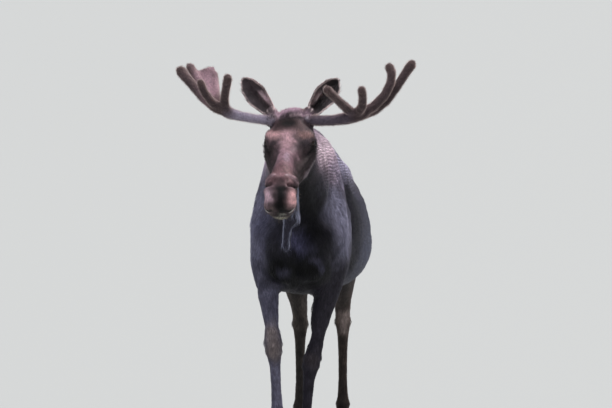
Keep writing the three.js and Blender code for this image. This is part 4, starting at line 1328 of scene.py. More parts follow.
def tuft_mesh(
    name, root, normal, way, length, width, height, shade_normal, colour, spot, rings,
    droop=DROOP, ends=END_TONES, ripple=None,
):
    """Closed tufts: root point, three-sided rings at shares of the length, and a tip.

    The colour has one station for the whole tuft, or one for the root, each ring and the tip."""
    count = len(root)
    across = unit(np.cross(normal, way))
    size = 2 + 3 * len(rings)
    points = np.empty((count, size, 3))
    shades = np.empty((count, size, 3))
    spots = np.empty((count, size, 2))
    points[:, 0] = root - normal * SINK_DEPTH
    shades[:, 0] = shade_normal
    spots[:, 0] = spot + (0, -PATCH / 2)
    for number, (share, wide) in enumerate(rings):
        rise = height * (1 - (1 - share) ** 2)
        spine = root + way * (length * share)[:, None] + normal * rise[:, None]
        half = (width * wide / 2)[:, None]
        at = 1 + 3 * number
        points[:, at] = spine - across * half
        points[:, at + 1] = spine + normal * half * 2 * THICKNESS
        points[:, at + 2] = spine + across * half
        shades[:, at] = unit(shade_normal - across * SIDE_SHADE)
        shades[:, at + 1] = shade_normal
        shades[:, at + 2] = unit(shade_normal + across * SIDE_SHADE)
        level = PATCH * (share - 0.5)
        spots[:, at] = spot + (-PATCH / 2, level)
        spots[:, at + 1] = spot + (0, level)
        spots[:, at + 2] = spot + (PATCH / 2, level)
    points[:, -1] = root + way * length[:, None] + normal * (height * (1 - droop))[:, None]
    shades[:, -1] = unit(shade_normal + way * TIP_SHADE)
    spots[:, -1] = spot + (0, PATCH / 2)
    # The light and shade of the ripples, painted into the tufts' tone.
    waves = np.ones((count, size, 1))
    if ripple is not None:
        wave = ripple_wave(points.reshape(-1, 3)).reshape(count, size)
        strong = ripple[:, None]
        waves += (RIPPLE_PAINTED_LIGHT * strong * np.sin(wave))[:, :, None]
        shades -= UP * (RIPPLE_SLOPE * strong * np.cos(wave))[:, :, None]
        shades = unit(shades.reshape(-1, 3)).reshape(count, size, 3)
    faces = tuft_faces(len(rings))
    corners = (faces[None] + (np.arange(count) * size)[:, None, None]).reshape(-1)
    mesh = mesh_of_triangles(name, points.reshape(-1, 3), corners)
    patches = mesh.uv_layers.new(name=MAP_NAME)
    patches.data.foreach_set("uv", spots.reshape(-1, 2)[corners].astype(np.float32).ravel())
    stations = np.repeat(np.arange(len(rings) + 2), [1] + [3] * len(rings) + [1])
    tones = colour[:, stations if colour.shape[1] > 1 else np.zeros(size, int)] * waves
    tones[:, 0] *= ends[0]
    tones[:, -1] *= ends[1]
    give_colour(mesh, tones.reshape(-1, 3))
    mesh.normals_split_custom_set_from_vertices(shades.reshape(-1, 3).astype(np.float32))
    return mesh


def coat_piece(name, mesh, material):
    mesh.materials.append(material)
    piece = new_object(name, mesh)
    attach(piece, "root")


print("a short tuft has", len(tuft_faces(len(SHORT))), "faces and a long one", len(tuft_faces(len(LONG))))

# %% [markdown]
# ## The surface and its pale rims
# Hair needs to know the skin's points, triangles, map and coat values, so they are kept
# together. The thin edges of ears and bell catch the light. A modeller could mark them by hand;
# here the leaf is cut in slices, and the outermost millimetres of each slice are the rim.

# %% A surface that hair can grow on
RIM_STEP = 0.004
RIM_FACING = 0.35
RIM_START = 0.4


def surface_of(mesh, values):
    """What tufts need to know of a mesh, for each point, corner or triangle."""
    triangles, loops = triangles_of(mesh)
    spots = np.empty(len(mesh.loops) * 2)
    mesh.uv_layers[MAP_NAME].data.foreach_get("uv", spots)
    corner = np.zeros(len(mesh.vertices), int)
    corner[triangles] = loops
    return {
        "points": points_of(mesh), "normals": normals_of(mesh), "triangles": triangles,
        "loops": loops, "map": spots.reshape(-1, 2), "corner": corner, "values": values,
    }


def rim_of(points, chosen, start, end, seen_from, reach):
    """How near each chosen point is to the edge of a leaf that runs from start to end."""
    line = body_at(start, end)
    along = unit(line[1] - line[0])
    across = unit(np.cross(along, seen_from))
    share = (points[chosen] - line[0]) @ along
    side = (points[chosen] - line[0]) @ across
    step = np.round(share / RIM_STEP).astype(int)
    step -= step.min()
    low = np.full(step.max() + 1, FAR)
    high = np.full(step.max() + 1, -FAR)
    np.minimum.at(low, step, side)
    np.maximum.at(high, step, side)
    gap = np.minimum(side - low[step], high[step] - side)
    gap = np.minimum(gap, share.max() - share)
    rim = np.zeros(len(points))
    rim[chosen] = 1 - eased(gap / (reach * MM) - RIM_START)
    return rim


# %% [markdown]
# Hair at the edge of an ear is thin, so light comes through it and it looks nearly white. Real
# light through hair is slow to work out, so the rim is a pale colour on hair that faces ahead.

# %% Find the rims
# name: the sticks it belongs to, start and end of the leaf, the width of its rim, its colour.
RIMS = {
    "ear left": (("ear_left",), (119, -578, 1806), (222, -510, 1936), 8, (0.92, 0.72, 0.7)),
    "ear right": (("ear_right",), (-118, -578, 1806), (-238, -510, 1936), 8, (0.92, 0.72, 0.7)),
    "bell": (("bell", "bell_strip"), (10, -700, 1400), (-12, -676, 1150), 5, (0.32, 0.33, 0.45)),
}
skin_values = coat_values(skin_points)
skin_values["rim"] = np.zeros((len(skin_points), 4))
for rim_name, (sticks, start, end, reach, tone) in RIMS.items():
    belongs = np.isin(skin_values["stick"], [stick_names.index(stick) for stick in sticks])
    rim = rim_of(skin_points, np.flatnonzero(belongs), start, end, FROM_AHEAD, reach)
    rim *= eased((skin_normals @ unit(FROM_AHEAD) + 0.1) / RIM_FACING)
    skin_values["rim"] += rim[:, None] * np.array([*tone, 1.0])
    print("rim of the", rim_name, "on", int((rim > 0.5).sum()), "points")
skin_surface = surface_of(skin_mesh, skin_values)
skin_values["ripple"] = ripple_strength(skin_points)
skin_values["length"] *= 1 - RIPPLE_SHORTENS * skin_values["ripple"]

# %% [markdown]
# ## Grow one piece
# No two hairs are alike, so each tuft's length, width, height, lie and tone vary a little round
# the blended values of the skin below. The tuft covers skin behind its root, so it takes its
# marking from under its middle. On the face, where markings are small, each ring takes its own.

# %% Grow one piece of coat
SLEEK = 0.8
STRAY = 0.35
SWIRL = 0.28
SWIRL_SIZE = 0.16
SWIRL_STRAY = 0.10
LENGTH_SPREAD = (0.7, 1.25)
WIDTH_SPREAD = (0.7, 1.2)
HEIGHT_SPREAD = (0.45, 0.95)
TONE_SPREAD = 0.2
TONE_LIMITS = (0.5, 1.6)
PATCHY = ((0.2, 0.06, 6), (0.14, 0.022, 7))
MIDDLE = 0.45
BACK_LIGHT_COLOUR = (0.85, 0.64, 0.60)


def laid_over(colour, share, other):
    """A colour with another over it, which is weighted by its share already."""
    return colour * (1 - share) + other


def grow(
    name, surface, chosen, seed, rings, scale, cover, colour_at, material,
    ends=END_TONES, sharp=False,
):
    """Tufts over the chosen triangles; scale is (length, width), ends the tone of root and tip.

    Sharp tufts take the markings at each ring, the others once, in their middle."""
    random = np.random.default_rng(seed)
    triangles = surface["triangles"][chosen]
    values = surface["values"]
    size = (values["length"] * values["width"])[triangles].mean(1) * scale[0] * scale[1]
    picked, weights = spread_roots(surface["points"], triangles, cover / size, random)

    def take(field):
        return blended(field, triangles, picked, weights)

    root = take(surface["points"])
    normal = unit(take(surface["normals"]))
    count = len(root)
    way = take(values["way"])
    swirl = wavering(root, SWIRL_SIZE, 5) * SWIRL + random.normal(0, SWIRL_STRAY, count)
    way = way + np.cross(normal, way) * swirl[:, None]
    way = unit(way - normal * (way * normal).sum(1)[:, None])
    length = take(values["length"]) * scale[0] * random.uniform(*LENGTH_SPREAD, count)
    width = take(values["width"]) * scale[1] * random.uniform(*WIDTH_SPREAD, count)
    height = take(values["depth"]) * random.uniform(*HEIGHT_SPREAD, count)
    height += take(values["lift"]) * random.uniform(0, 1, count) ** 2
    ripple = take(values["ripple"]) if "ripple" in values else np.zeros(count)
    height += RIPPLE_HEIGHT * ripple * np.sin(ripple_wave(root))
    stray = unit(normal + random.normal(0, STRAY, (count, 3)))
    shade = normal * SLEEK + stray * (1 - SLEEK)
    tone = random.normal(1, TONE_SPREAD, count)
    tone *= 1 + sum(strength * wavering(root, size, seed) for strength, size, seed in PATCHY)
    shares = [0, *(share for share, _ in rings), 1] if sharp else [MIDDLE]
    stations = [root + way * (length * share)[:, None] for share in shares]
    colour = np.stack([colour_at(station, normal) for station in stations], axis=1)
    if "rim" in values:
        rim = take(values["rim"])[:, None]
        colour = laid_over(colour, rim[:, :, 3:], rim[:, :, :3])
    # Velvet fuzz: painted back light, paler towards the tip where it points past the edge.
    if "frost" in values:
        frosted = (take(values["frost"])[:, None] * np.array(shares) ** 2)[:, :, None]
        colour = laid_over(colour, frosted, frosted * BACK_LIGHT_COLOUR)
    colour = colour * np.clip(tone, *TONE_LIMITS)[:, None, None]
    spot = blended(surface["map"], surface["loops"][chosen], picked, weights)
    spot = np.clip(spot, PATCH, 1 - PATCH)
    mesh = tuft_mesh(
        name, root, normal, way, length, width, height, unit(shade), colour, spot, rings,
        ends=ends, ripple=ripple,
    )
    coat_piece(name, mesh, material)
    return count


# %% [markdown]
# ## Where each tuft grows
# The coat is cut into pieces by the nearest stick of the stick figure, and the large ones into
# left and right, so that no piece gets too heavy. Inside the nostrils, in the line of the mouth
# and on the eyes nothing grows.

# %% The table of coat pieces
# piece: its tufts (rings, scale of length and width, cover), then the sticks it covers.
BODY_HAIR = (SHORT, (0.82, 0.38), 2.5)
LEG_HAIR = (SHORT, (1.0, 0.54), 2.5)
FACE_HAIR = (SHORT, (1.15, 0.63), 2.6)
EAR_HAIR = (SHORT, (0.8, 0.5), 2.4)
LONG_HAIR = (LONG, (0.9, 0.36), 2.7)
COAT_PIECES = {
    "coat_barrel": (BODY_HAIR, "barrel", "back", "belly"),
    "coat_haunch": (BODY_HAIR, "rump_left", "rump_right", "thigh_left", "thigh_right"),
    "coat_shoulder": (BODY_HAIR, "shoulder_left", "shoulder_right", "chest"),
    "coat_neck": (BODY_HAIR, "neck", "throat"),
    "coat_crest": (LONG_HAIR, "hump", "mane"),
    "coat_tail": (LONG_HAIR, "tail"),
    "coat_bell": (LONG_HAIR, "bell", "bell_strip"),
    "coat_foreleg_left": (LEG_HAIR, "foreleg_left_arm", "foreleg_left_shin", "foreleg_left_foot"),
    "coat_foreleg_right": (LEG_HAIR, "foreleg_right_arm", "foreleg_right_shin", "foreleg_right_foot"),
    "coat_hindleg_left": (LEG_HAIR, "hindleg_left_arm", "hindleg_left_shin", "hindleg_left_foot"),
    "coat_hindleg_right": (LEG_HAIR, "hindleg_right_arm", "hindleg_right_shin", "hindleg_right_foot"),
    "coat_crown": (FACE_HAIR, "crown", "cheek"),
    "coat_face": (FACE_HAIR, "bridge", "muzzle", "jaw"),
    "coat_ears": (EAR_HAIR, "ear_left", "ear_right"),
}
HALVED = ("coat_barrel", "coat_haunch", "coat_shoulder", "coat_neck", "coat_face")
FACE_PIECES = ("coat_crown", "coat_face", "coat_ears")
print(len(COAT_PIECES), "kinds of coat piece,", len(HALVED), "of them in two halves")

# %% [markdown]
# The skin inside a nostril is naked, and so is the line where the lips meet. Tufts there would
# stick out across the opening, so triangles near these paths are left out.

# %% Leave eyes, nostrils and mouth bare
BARE_LIDS = 1.3
# Reach in millimetres, then the path on the left side of the head.
BARE_PATHS = (
    (9, (46, 572, -20), (57, 560, -31), (67, 547, -50)),
    (4.5, (70, 352, -164), (62, 480, -164), (56, 590, -166), (30, 638, -166), (0, 648, -162)),
)
bare = eye_gap < BARE_LIDS
for reach, *path in BARE_PATHS:
    for side in (1, -1):
        line = head_at(*[(side * x, y, z) for x, y, z in path])
        bare |= path_distance(skin_points, line) < reach * MM
first_corner = skin_surface["triangles"][:, 0]
triangle_stick = skin_values["stick"][first_corner]
on_left = skin_points[first_corner, 0] > HOME[0]
hairy = ~bare[skin_surface["triangles"]].any(1)
print(int((~hairy).sum()), "of", len(hairy), "triangles stay bare")

# %% [markdown]
# Now every piece is grown. Each kind has its own seed, so it comes out the same on every run.

# %% Grow the coat
FIRST_SEED = 100
total = 0
for seed, (name, ((rings, scale, cover), *sticks)) in enumerate(COAT_PIECES.items()):
    chosen = hairy & np.isin(triangle_stick, [stick_names.index(stick) for stick in sticks])
    material = face_material if name in FACE_PIECES else hair_material
    halves = {f"{name}_left": on_left, f"{name}_right": ~on_left} if name in HALVED else {name: True}
    for part, half in halves.items():
        places = np.flatnonzero(chosen & half)
        count = grow(
            part, skin_surface, places, FIRST_SEED + seed, rings, scale, cover, coat_colour,
            material, sharp=name in FACE_PIECES,
        )
        triangles = count * len(tuft_faces(len(rings)))
        total += triangles
        print("  ", part, count, "tufts,", triangles, "triangles")
print("coat of", total, "triangles", round(time.time() - STARTED, 1), "s")

# %% [markdown]
# ## Lashes, whiskers and hair inside the ears
# A few long hairs make a face. They are tufts too, but thin as wire and standing out: lashes
# along the upper lid, whiskers on lips and chin, and pale strands that cross the cup of the ear.

# %% A function for single hairs
HAIR_RINGS = ((0.12, 1.0), (0.45, 0.8), (0.75, 0.55))
HAIR_LENGTHS = (0.6, 1.1)
HAIR_TONES = (0.75, 1.25)


def nearest_spot(root):
    """The place on the skin's map of the skin point nearest to each root."""
    nearest = [np.argmin(((skin_points - point) ** 2).sum(1)) for point in root]
    return np.clip(skin_surface["map"][skin_surface["corner"][nearest]], PATCH, 1 - PATCH)


def single_hairs(name, root, normal, way, size, height, colour, seed, droop):
    """One piece of long hairs; size is their length and width, height how far the tips stand out."""
    random = np.random.default_rng(seed)
    count = len(root)
    length = size[0] * random.uniform(*HAIR_LENGTHS, count)
    width = np.full(count, size[1])
    way = unit(way - normal * (way * normal).sum(1)[:, None])
    tone = np.array(colour) * random.uniform(*HAIR_TONES, (count, 1, 1))
    spot = nearest_spot(root)
    mesh = tuft_mesh(name, root, normal, way, length, width, height, normal, tone, spot, HAIR_RINGS, droop)
    coat_piece(name, mesh, face_material)
    print("  ", name, count, "hairs")


# %% [markdown]
# Lashes are stiff and stand in a row above the eye, fanning outward. The row follows the outline
# of the opening, laid round the ball a little above the lid's edge.

# %% Lashes along the upper lids
LASH_COUNT = 26
LASH_SIZE = (0.017, 0.0010)
LASH_COLOUR = (0.02, 0.016, 0.018)
LASH_TURNS = (0.16, 0.86)
LASH_ROW = (1.12, 1.2)
LASH_HEIGHTS = (0.55, 0.8)
LASH_SINK = 0.0008

random = np.random.default_rng(31)
for name in EYES:
    axes, place = eye_axes[name], eye_places[name]
    turn = np.linspace(*LASH_TURNS, LASH_COUNT) * math.pi
    rim = EYE_RADIUS + LID_THICKNESS
    a = OPENING[0] * LASH_ROW[0] * np.cos(turn)
    b = OPENING[1] * LASH_ROW[1] * np.sin(turn)
    out = np.sqrt(rim**2 - a**2 - b**2) - LASH_SINK
    root = place + np.column_stack([a, b, out]) @ axes
    outward = unit(np.column_stack([a * 0.7, b * 0.9, out]) @ axes)
    way = np.tile(axes[1] * 0.5 + ALONG * 0.35, (LASH_COUNT, 1))
    way += np.outer(a / OPENING[0], axes[0]) * 0.5
    height = LASH_SIZE[0] * random.uniform(*LASH_HEIGHTS, LASH_COUNT)
    single_hairs("lashes_" + name[4:], root, outward, way, LASH_SIZE, height, LASH_COLOUR, 32, -0.1)

# %% [markdown]
# A moose feels its food with scattered stiff hairs on lips and chin. They start at random points
# of the skin and hang a little.

# %% Whiskers on lips and chin
WHISKERS = 90
WHISKER_SIZE = (0.034, 0.0007)
WHISKER_COLOUR = (0.12, 0.10, 0.09)
WHISKER_MIDDLE = (0, 610, -130)
WHISKER_REACH = (75, 75, 70)

spread = np.abs(head_coordinates(skin_points) - WHISKER_MIDDLE) / WHISKER_REACH
picked = random.choice(np.flatnonzero((spread.max(1) < 1) & ~bare), WHISKERS, replace=False)
height = WHISKER_SIZE[0] * random.uniform(0.3, 0.8, WHISKERS)
single_hairs(
    "whiskers", skin_points[picked], skin_normals[picked], skin_values["way"][picked] - UP * 0.6,
    WHISKER_SIZE, height, WHISKER_COLOUR, 33, 0.1,
)

# %% [markdown]
# Long hair keeps flies out of the ear. Only the side that faces ahead gets it, at mid height.

# %% Pale strands in the ears
EAR_STRANDS = 260
EAR_STRAND_SIZE = (0.026, 0.0012)
EAR_STRAND_COLOUR = (0.1, 0.08, 0.085)
EAR_MIDDLE_HEIGHT = 1.85
EAR_HALF_HEIGHT = 0.045
EAR_FACING = 0.35

ear_sticks = [stick_names.index("ear_left"), stick_names.index("ear_right")]
inside = np.isin(skin_values["stick"], ear_sticks) & (skin_normals @ unit(FROM_AHEAD) > EAR_FACING)
inside &= np.abs(skin_points[:, 2] - HOME[2] - EAR_MIDDLE_HEIGHT) < EAR_HALF_HEIGHT
inside = np.flatnonzero(inside)
picked = random.choice(inside, min(EAR_STRANDS, len(inside)), replace=False)
height = EAR_STRAND_SIZE[0] * random.uniform(0.1, 0.3, len(picked))
single_hairs(
    "ear_strands", skin_points[picked], skin_normals[picked], skin_values["way"][picked],
    EAR_STRAND_SIZE, height, EAR_STRAND_COLOUR, 34, 0.3,
)

# %% [markdown]
# ## Antlers in velvet
# In summer the antlers are still growing, under a skin of short, dense fuzz that glows along
# its edge when the light is behind it. The frame's tines are joined, remeshed to one body and
# smoothed where they branch. A ring of knobs swells at the foot. Short hair is grown on top,
# standing up more than the coat does, which gives the soft outline.

# %% The shape of the antlers
ANTLER_VOXEL = 0.0035
ANTLER_ROUNDS = 9
BURR_FROM_MIDDLE = 0.083
BURR_WIDTH = 0.011
BURR_HEIGHT = 0.0045
KNOB_SIZE = 0.016
KNOB_SHARE = 0.6
GROOVE_SIZE = 0.018
GROOVE_DEPTH = 0.0007
GROOVE_STRETCH = (0.35, 1, 1)


def antler_mesh(side):
    """One smooth mesh for an antler, with a ring of knobs at its foot, and the solids it is of."""
    nodes = [name for name in NODES if name.startswith(f"antler_{side}")]
    mesh = joined(f"antler_{side}", nodes)
    mesh = with_modifier(mesh, "REMESH", mode="VOXEL", voxel_size=ANTLER_VOXEL, use_smooth_shade=True)
    points = relaxed(points_of(mesh), edges_of(mesh), np.full(len(mesh.vertices), 1.0), ANTLER_ROUNDS)
    put_points(mesh, points)
    normals = normals_of(mesh)
    along = (np.abs(points[:, 0] - HOME[0]) - BURR_FROM_MIDDLE) / BURR_WIDTH
    knobs = 1 + KNOB_SHARE * wavering(points, KNOB_SIZE, 12)
    grooves = GROOVE_DEPTH * wavering(points * GROOVE_STRETCH, GROOVE_SIZE, 13)
    points = points + normals * (BURR_HEIGHT * np.exp(-(along**2)) * knobs + grooves)[:, None]
    put_points(mesh, points)
    return mesh, nodes


print("antlers are remeshed at", ANTLER_VOXEL / MM, "mm")

# %% [markdown]
# ## Velvet and its fuzz
# Velvet is a warm dark brown, a little lighter than the coat, warmest at the tips, where the
# antler grows, and paler and bluish on the beams. Zones paint it, as they paint the coat, and
# some of them are painted light: a lighter upper side, a lit right beam and a plate lit from behind.

# %% Colours of the velvet
VELVET_COLOUR = (0.066, 0.047, 0.050)
VELVET_TIP = (0.10, 0.066, 0.064)
TIPS = (
    (187, -788, 1894), (346, -748, 1892), (466, -614, 1992), (565, -540, 2001),
    (-279, -746, 1944), (-409, -718, 1921), (-515, -586, 1969),
)
VELVET_ZONES = [
    # Lighter on faces turned up: painted light from above.
    ("upper side", BODY, ONE, 600, 0.6, FROM_ABOVE, (0.2, 0.135, 0.14), (0, -640, 1850)),
    ("left beam", BODY, ONE, 46, 0.85, ANY, (0.12, 0.098, 0.134), (80, -642, 1740), (260, -650, 1752)),
    # Greyish velvet lightened by painted light on the right beam.
    ("right beam", BODY, ONE, 46, 0.9, ANY, (0.42, 0.37, 0.48), (-96, -642, 1742), (-250, -644, 1764)),
    # Pale plate: painted light shining through it from behind.
    ("plate", BODY, ONE, 62, 0.85, ANY, (0.7, 0.45, 0.52), (-376, -572, 1878), (-414, -527, 1968)),
    *[("tip", BODY, ONE, 30, 0.8, ANY, VELVET_TIP, tip) for tip in TIPS],
    ("edge of the plate", BODY, ONE, 34, 0.7, ANY, VELVET_TIP, (-414, -520, 1990), (-470, -516, 1984)),
    ("foot", BODY, BOTH, 27, 0.85, ANY, (0.03, 0.024, 0.028), (84, -646, 1736)),
    ("knobs at the foot", BODY, BOTH, 9, 0.85, ANY, (0.5, 0.42, 0.48),
     (86, -666, 1758), (92, -640, 1766)),
]


def velvet_colour(points, normals):
    return painted(points, normals, VELVET_COLOUR, VELVET_ZONES)


print(len(VELVET_ZONES), "zones of the velvet")


# %% [markdown]
# The fuzz is grown like the coat, but it stands up, and where it points past the edge it is
# painted pale, as light from behind would make it. A sheen alone shows only in some lights and
# not in every viewer.

# %% Make both antlers
VELVET_SHEEN = (1.0, 0.80, 0.76, 1)
velvet_material = coat_material(
    "velvet", 130, (0.8, 1.2), 500, 0.0011, (1, 1, 1),
    {"Roughness": 0.75, "Specular IOR Level": 0.1, "Sheen Weight": 1.0, "Sheen Roughness": 0.4,
     "Sheen Tint": VELVET_SHEEN},
)
FUZZ_RINGS = ((0.2, 1.0), (0.72, 0.7))
FUZZ = {"length": 0.0095, "width": 0.0017, "depth": 0.0028, "lift": 0.0050}
FUZZ_COVER = 0.65
# Dark roots and pale tips; the pale tips stand in for light from behind.
FUZZ_ENDS = (0.5, 1.8)
BACK_LIGHT_TURN = 0.95
FUZZ_SEED = 60
FUZZ_WAY = (1.0, -0.25, 0.9)

for side in ("left", "right"):
    mesh, nodes = antler_mesh(side)
    smooth_shaded(mesh)
    piece = new_object(f"velvet_{side}", mesh)
    unwrapped(piece)
    give_colour(mesh, velvet_colour(points_of(mesh), normals_of(mesh)))
    mesh.materials.append(velvet_material)
    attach(piece, "root")
    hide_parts(*nodes)
    count = len(mesh.vertices)
    outward = np.array(FUZZ_WAY) * (1 if side == "left" else -1, 1, 1)
    values = {key: np.full(count, value) for key, value in FUZZ.items()}
    values["way"] = np.tile(unit(outward), (count, 1))
    # Painted back light: strongest where the velvet turns away from the view ahead.
    facing = np.abs(normals_of(mesh) @ unit(FROM_AHEAD))
    values["frost"] = 1 - eased(facing / BACK_LIGHT_TURN)
    surface = surface_of(mesh, values)
    everywhere = np.arange(len(surface["triangles"]))
    hairs = grow(
        f"velvet_fuzz_{side}", surface, everywhere, FUZZ_SEED, FUZZ_RINGS, (1, 1), FUZZ_COVER,
        velvet_colour, velvet_material, ends=FUZZ_ENDS, sharp=True,
    )
    print("antler", side, len(mesh.polygons), "faces and", hairs, "hairs")

# %% [markdown]
# ## Hooves and dewclaws
# A moose stands on two long, pointed claws, with two dewclaws behind. The horn grows down from
# the crown in fine rings. The frame's blocks are remeshed finely and rounded, the rings are
# pushed in along the height, and the sole stays flat on the ground.

# %% Model the hooves
HOOF_VOXEL = 0.0028
HOOF_ROUNDS = 8
HOOF_RINGS = ((0.0085, 0.00035), (0.0031, 0.00015))
HOOF_KEEP = 0.45
HOOF_SLOPE = 0.25
PALE_SOLE = (0.1, 0.5)
PALE_TOP = (0.8, 0.2, 0.25)
# The skin lies deeper than the solid it replaces, so the dewclaws move in to meet it.
DEWCLAW_SHIFT = np.array([0, -0.013, 0.006])
horn_material = coat_material(
    "horn", 70, (0.7, 1.35), 260, 0.0006, (1, 1, 6),
    {"Roughness": 0.42, "Specular IOR Level": 0.45, "Coat Weight": 0.08, "Coat Roughness": 0.3},
)
HORN_COLOUR = (0.030, 0.025, 0.024)
HORN_PALE = (0.13, 0.105, 0.085)


def hoof_mesh(node):
    """One claw, rounded, with rings down its sides and a paler sole and top."""
    mesh = joined(node, [node])
    mesh = with_modifier(mesh, "REMESH", mode="VOXEL", voxel_size=HOOF_VOXEL, use_smooth_shade=True)
    points = points_of(mesh)
    low = points[:, 2].min()
    points = relaxed(points, edges_of(mesh), np.full(len(points), 1.0), HOOF_ROUNDS)
    put_points(mesh, points)
    normals = normals_of(mesh)
    side = 1 - np.abs(normals[:, 2]) ** 3
    slope = points[:, 2] + HOOF_SLOPE * points[:, 1]
    ring = sum(depth * np.sin(slope * 2 * math.pi / gap) for gap, depth in HOOF_RINGS)
    points = points + normals * (ring * side)[:, None]
    points[:, 2] = np.maximum(points[:, 2], low)
    put_points(mesh, points)
    mesh = with_modifier(mesh, "DECIMATE", ratio=HOOF_KEEP)
    if node.startswith("dewclaw"):
        put_points(mesh, points_of(mesh) + DEWCLAW_SHIFT)
    points = points_of(mesh)
    up = (points[:, 2] - low) / max(np.ptp(points[:, 2]), 1e-6)
    pale = np.exp(-((up / PALE_SOLE[0]) ** 2)) * PALE_SOLE[1]
    pale += eased((up - PALE_TOP[0]) / PALE_TOP[1]) * PALE_TOP[2]
    pale = np.clip(pale, 0, 1)[:, None]
    give_colour(mesh, np.array(HORN_COLOUR) * (1 - pale) + np.array(HORN_PALE) * pale)
    return mesh


# %% [markdown]
# The claws of a foot never move apart here, so each foot becomes one piece.

# %% Join the claws of each foot
for leg in LEG_JOINTS:
    nodes = [name for name in NODES if name.startswith((f"hoof_{leg}", f"dewclaw_{leg}"))]
    claws = bmesh.new()
    for node in nodes:
        claws.from_mesh(hoof_mesh(node))
    mesh = bpy.data.meshes.new(f"hooves_{leg}")
    claws.to_mesh(mesh)
    claws.free()
    smooth_shaded(mesh)
    mesh.materials.append(horn_material)
    piece = new_object(f"hooves_{leg}", mesh)
    unwrapped(piece)
    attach(piece, "root")
    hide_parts(*nodes)
    print("hooves", leg, len(mesh.polygons), "faces from", len(nodes), "claws")

# %% [markdown]
# ## Eyes
# A moose's eye is a dark brown ball with a clear bulge in front and a pupil that lies flat like
# a slot. A sphere with the front pushed out gives the glint its shape. Iris and pupil are
# painted by angle from the way the eye looks, and a clear coat makes it wet. The sphere is laid
# out from numbers, because the ready-made one lists its faces in another order on each run. The
# right eye's axes mirror the left's, which turns the ball inside out, so its faces are flipped.

# %% A ball of even rings
BALL_SEGMENTS = 64
BALL_RINGS = 44


def ball_mesh(name):
    """A ball of radius 1 that looks up, wound outward."""
    turn = np.arange(BALL_SEGMENTS) * 2 * math.pi / BALL_SEGMENTS
    fall = np.arange(1, BALL_RINGS)[:, None] * math.pi / BALL_RINGS
    belts = [np.sin(fall) * np.cos(turn), np.sin(fall) * np.sin(turn), np.cos(fall) + 0 * turn]
    points = [(0, 0, 1), *np.stack(belts, axis=2).reshape(-1, 3).tolist(), (0, 0, -1)]
    last = len(points) - 1
    faces = []
    for k in range(BALL_SEGMENTS):
        beside = (k + 1) % BALL_SEGMENTS
        faces.append((0, 1 + k, 1 + beside))
        for ring in range(BALL_RINGS - 2):
            upper = 1 + ring * BALL_SEGMENTS
            lower = upper + BALL_SEGMENTS
            faces.append((lower + k, lower + beside, upper + beside, upper + k))
        faces.append((last, last - BALL_SEGMENTS + beside, last - BALL_SEGMENTS + k))
    mesh = bpy.data.meshes.new(name)
    mesh.from_pydata(points, [], faces)
    return mesh


# %% Shape and paint the eyes
BULGE = 0.0016
BULGE_ANGLE = math.radians(38)
IRIS_ANGLE = math.radians(40)
PUPIL = (0.0074, 0.0036)
IRIS_COLOUR = (0.020, 0.008, 0.004)
IRIS_EDGE = (0.008, 0.005, 0.004)
BALL_COLOUR = (0.02, 0.014, 0.012)
PUPIL_TONE = 0.002
IRIS_FADE = (0.75, 0.25)
WHITE_FADE = 0.12
eye_material = coat_material(
    "wet eye", 500, (0.75, 1.3), 40, 0.0001, (1, 1, 1),
    {"Roughness": 0.4, "Specular IOR Level": 0.05, "Coat Weight": 0.6, "Coat Roughness": 0.02},
)
for name in EYES:
    axes, place = eye_axes[name], eye_places[name]
    mesh = ball_mesh(name + "_ball")
    ways = points_of(mesh)
    angle = np.arccos(np.clip(ways[:, 2], -1, 1))
    swell = 1 + BULGE / EYE_RADIUS * (1 - eased(angle / BULGE_ANGLE))
    put_points(mesh, place + (ways * (swell * EYE_RADIUS)[:, None]) @ axes)
    if np.linalg.det(axes) < 0:
        mesh.flip_normals()
    flat = ways * EYE_RADIUS
    slot = np.hypot(flat[:, 0] / PUPIL[0], flat[:, 1] / PUPIL[1])
    ring = eased((angle / IRIS_ANGLE - IRIS_FADE[0]) / IRIS_FADE[1])[:, None]
    colour = np.array(IRIS_COLOUR) * (1 - ring) + np.array(IRIS_EDGE) * ring
    colour = np.where((slot < 1)[:, None], PUPIL_TONE, colour)
    white = eased((angle - IRIS_ANGLE) / WHITE_FADE)[:, None]
    give_colour(mesh, colour * (1 - white) + np.array(BALL_COLOUR) * white)
    smooth_shaded(mesh)
    mesh.materials.append(eye_material)
    piece = new_object(name + "_ball", mesh)
    unwrapped(piece)
    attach(piece, "root")
    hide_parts(name)
    print(name, "at", place.round(3))

# %% [markdown]
# ## Studio floor
# A plain pale floor runs out of sight in all directions, so that no horizon or corner shows and
# the feet get soft shadows. A fine bump keeps it from looking like empty air.

# %% Floor
FLOOR_HALF = 90
FLOOR_TONE = (0.48, 0.49, 0.48, 1)
GRAIN_SCALE = 40
GRAIN_DETAIL = 3
GRAIN_DEPTH = 0.0005

floor_mesh = bpy.data.meshes.new("floor")
corners = [(x * FLOOR_HALF, y * FLOOR_HALF, 0) for x, y in ((-1, -1), (1, -1), (1, 1), (-1, 1))]
floor_mesh.from_pydata(corners, [], [(0, 1, 2, 3)])
floor = new_object("floor", floor_mesh)
floor_material, nodes, links = node_material("studio floor")
set_values(nodes["Principled BSDF"], {"Base Color": FLOOR_TONE, "Roughness": 0.85})
grain = noise_node(nodes, links, GRAIN_SCALE, GRAIN_DETAIL)
floor_bump = nodes.new("ShaderNodeBump")
floor_bump.inputs["Distance"].default_value = GRAIN_DEPTH
links.new(grain.outputs["Fac"], floor_bump.inputs["Height"])
links.new(floor_bump.outputs["Normal"], nodes["Principled BSDF"].inputs["Normal"])
floor_mesh.materials.append(floor_material)
floor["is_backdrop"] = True
print("floor", 2 * FLOOR_HALF, "m wide")

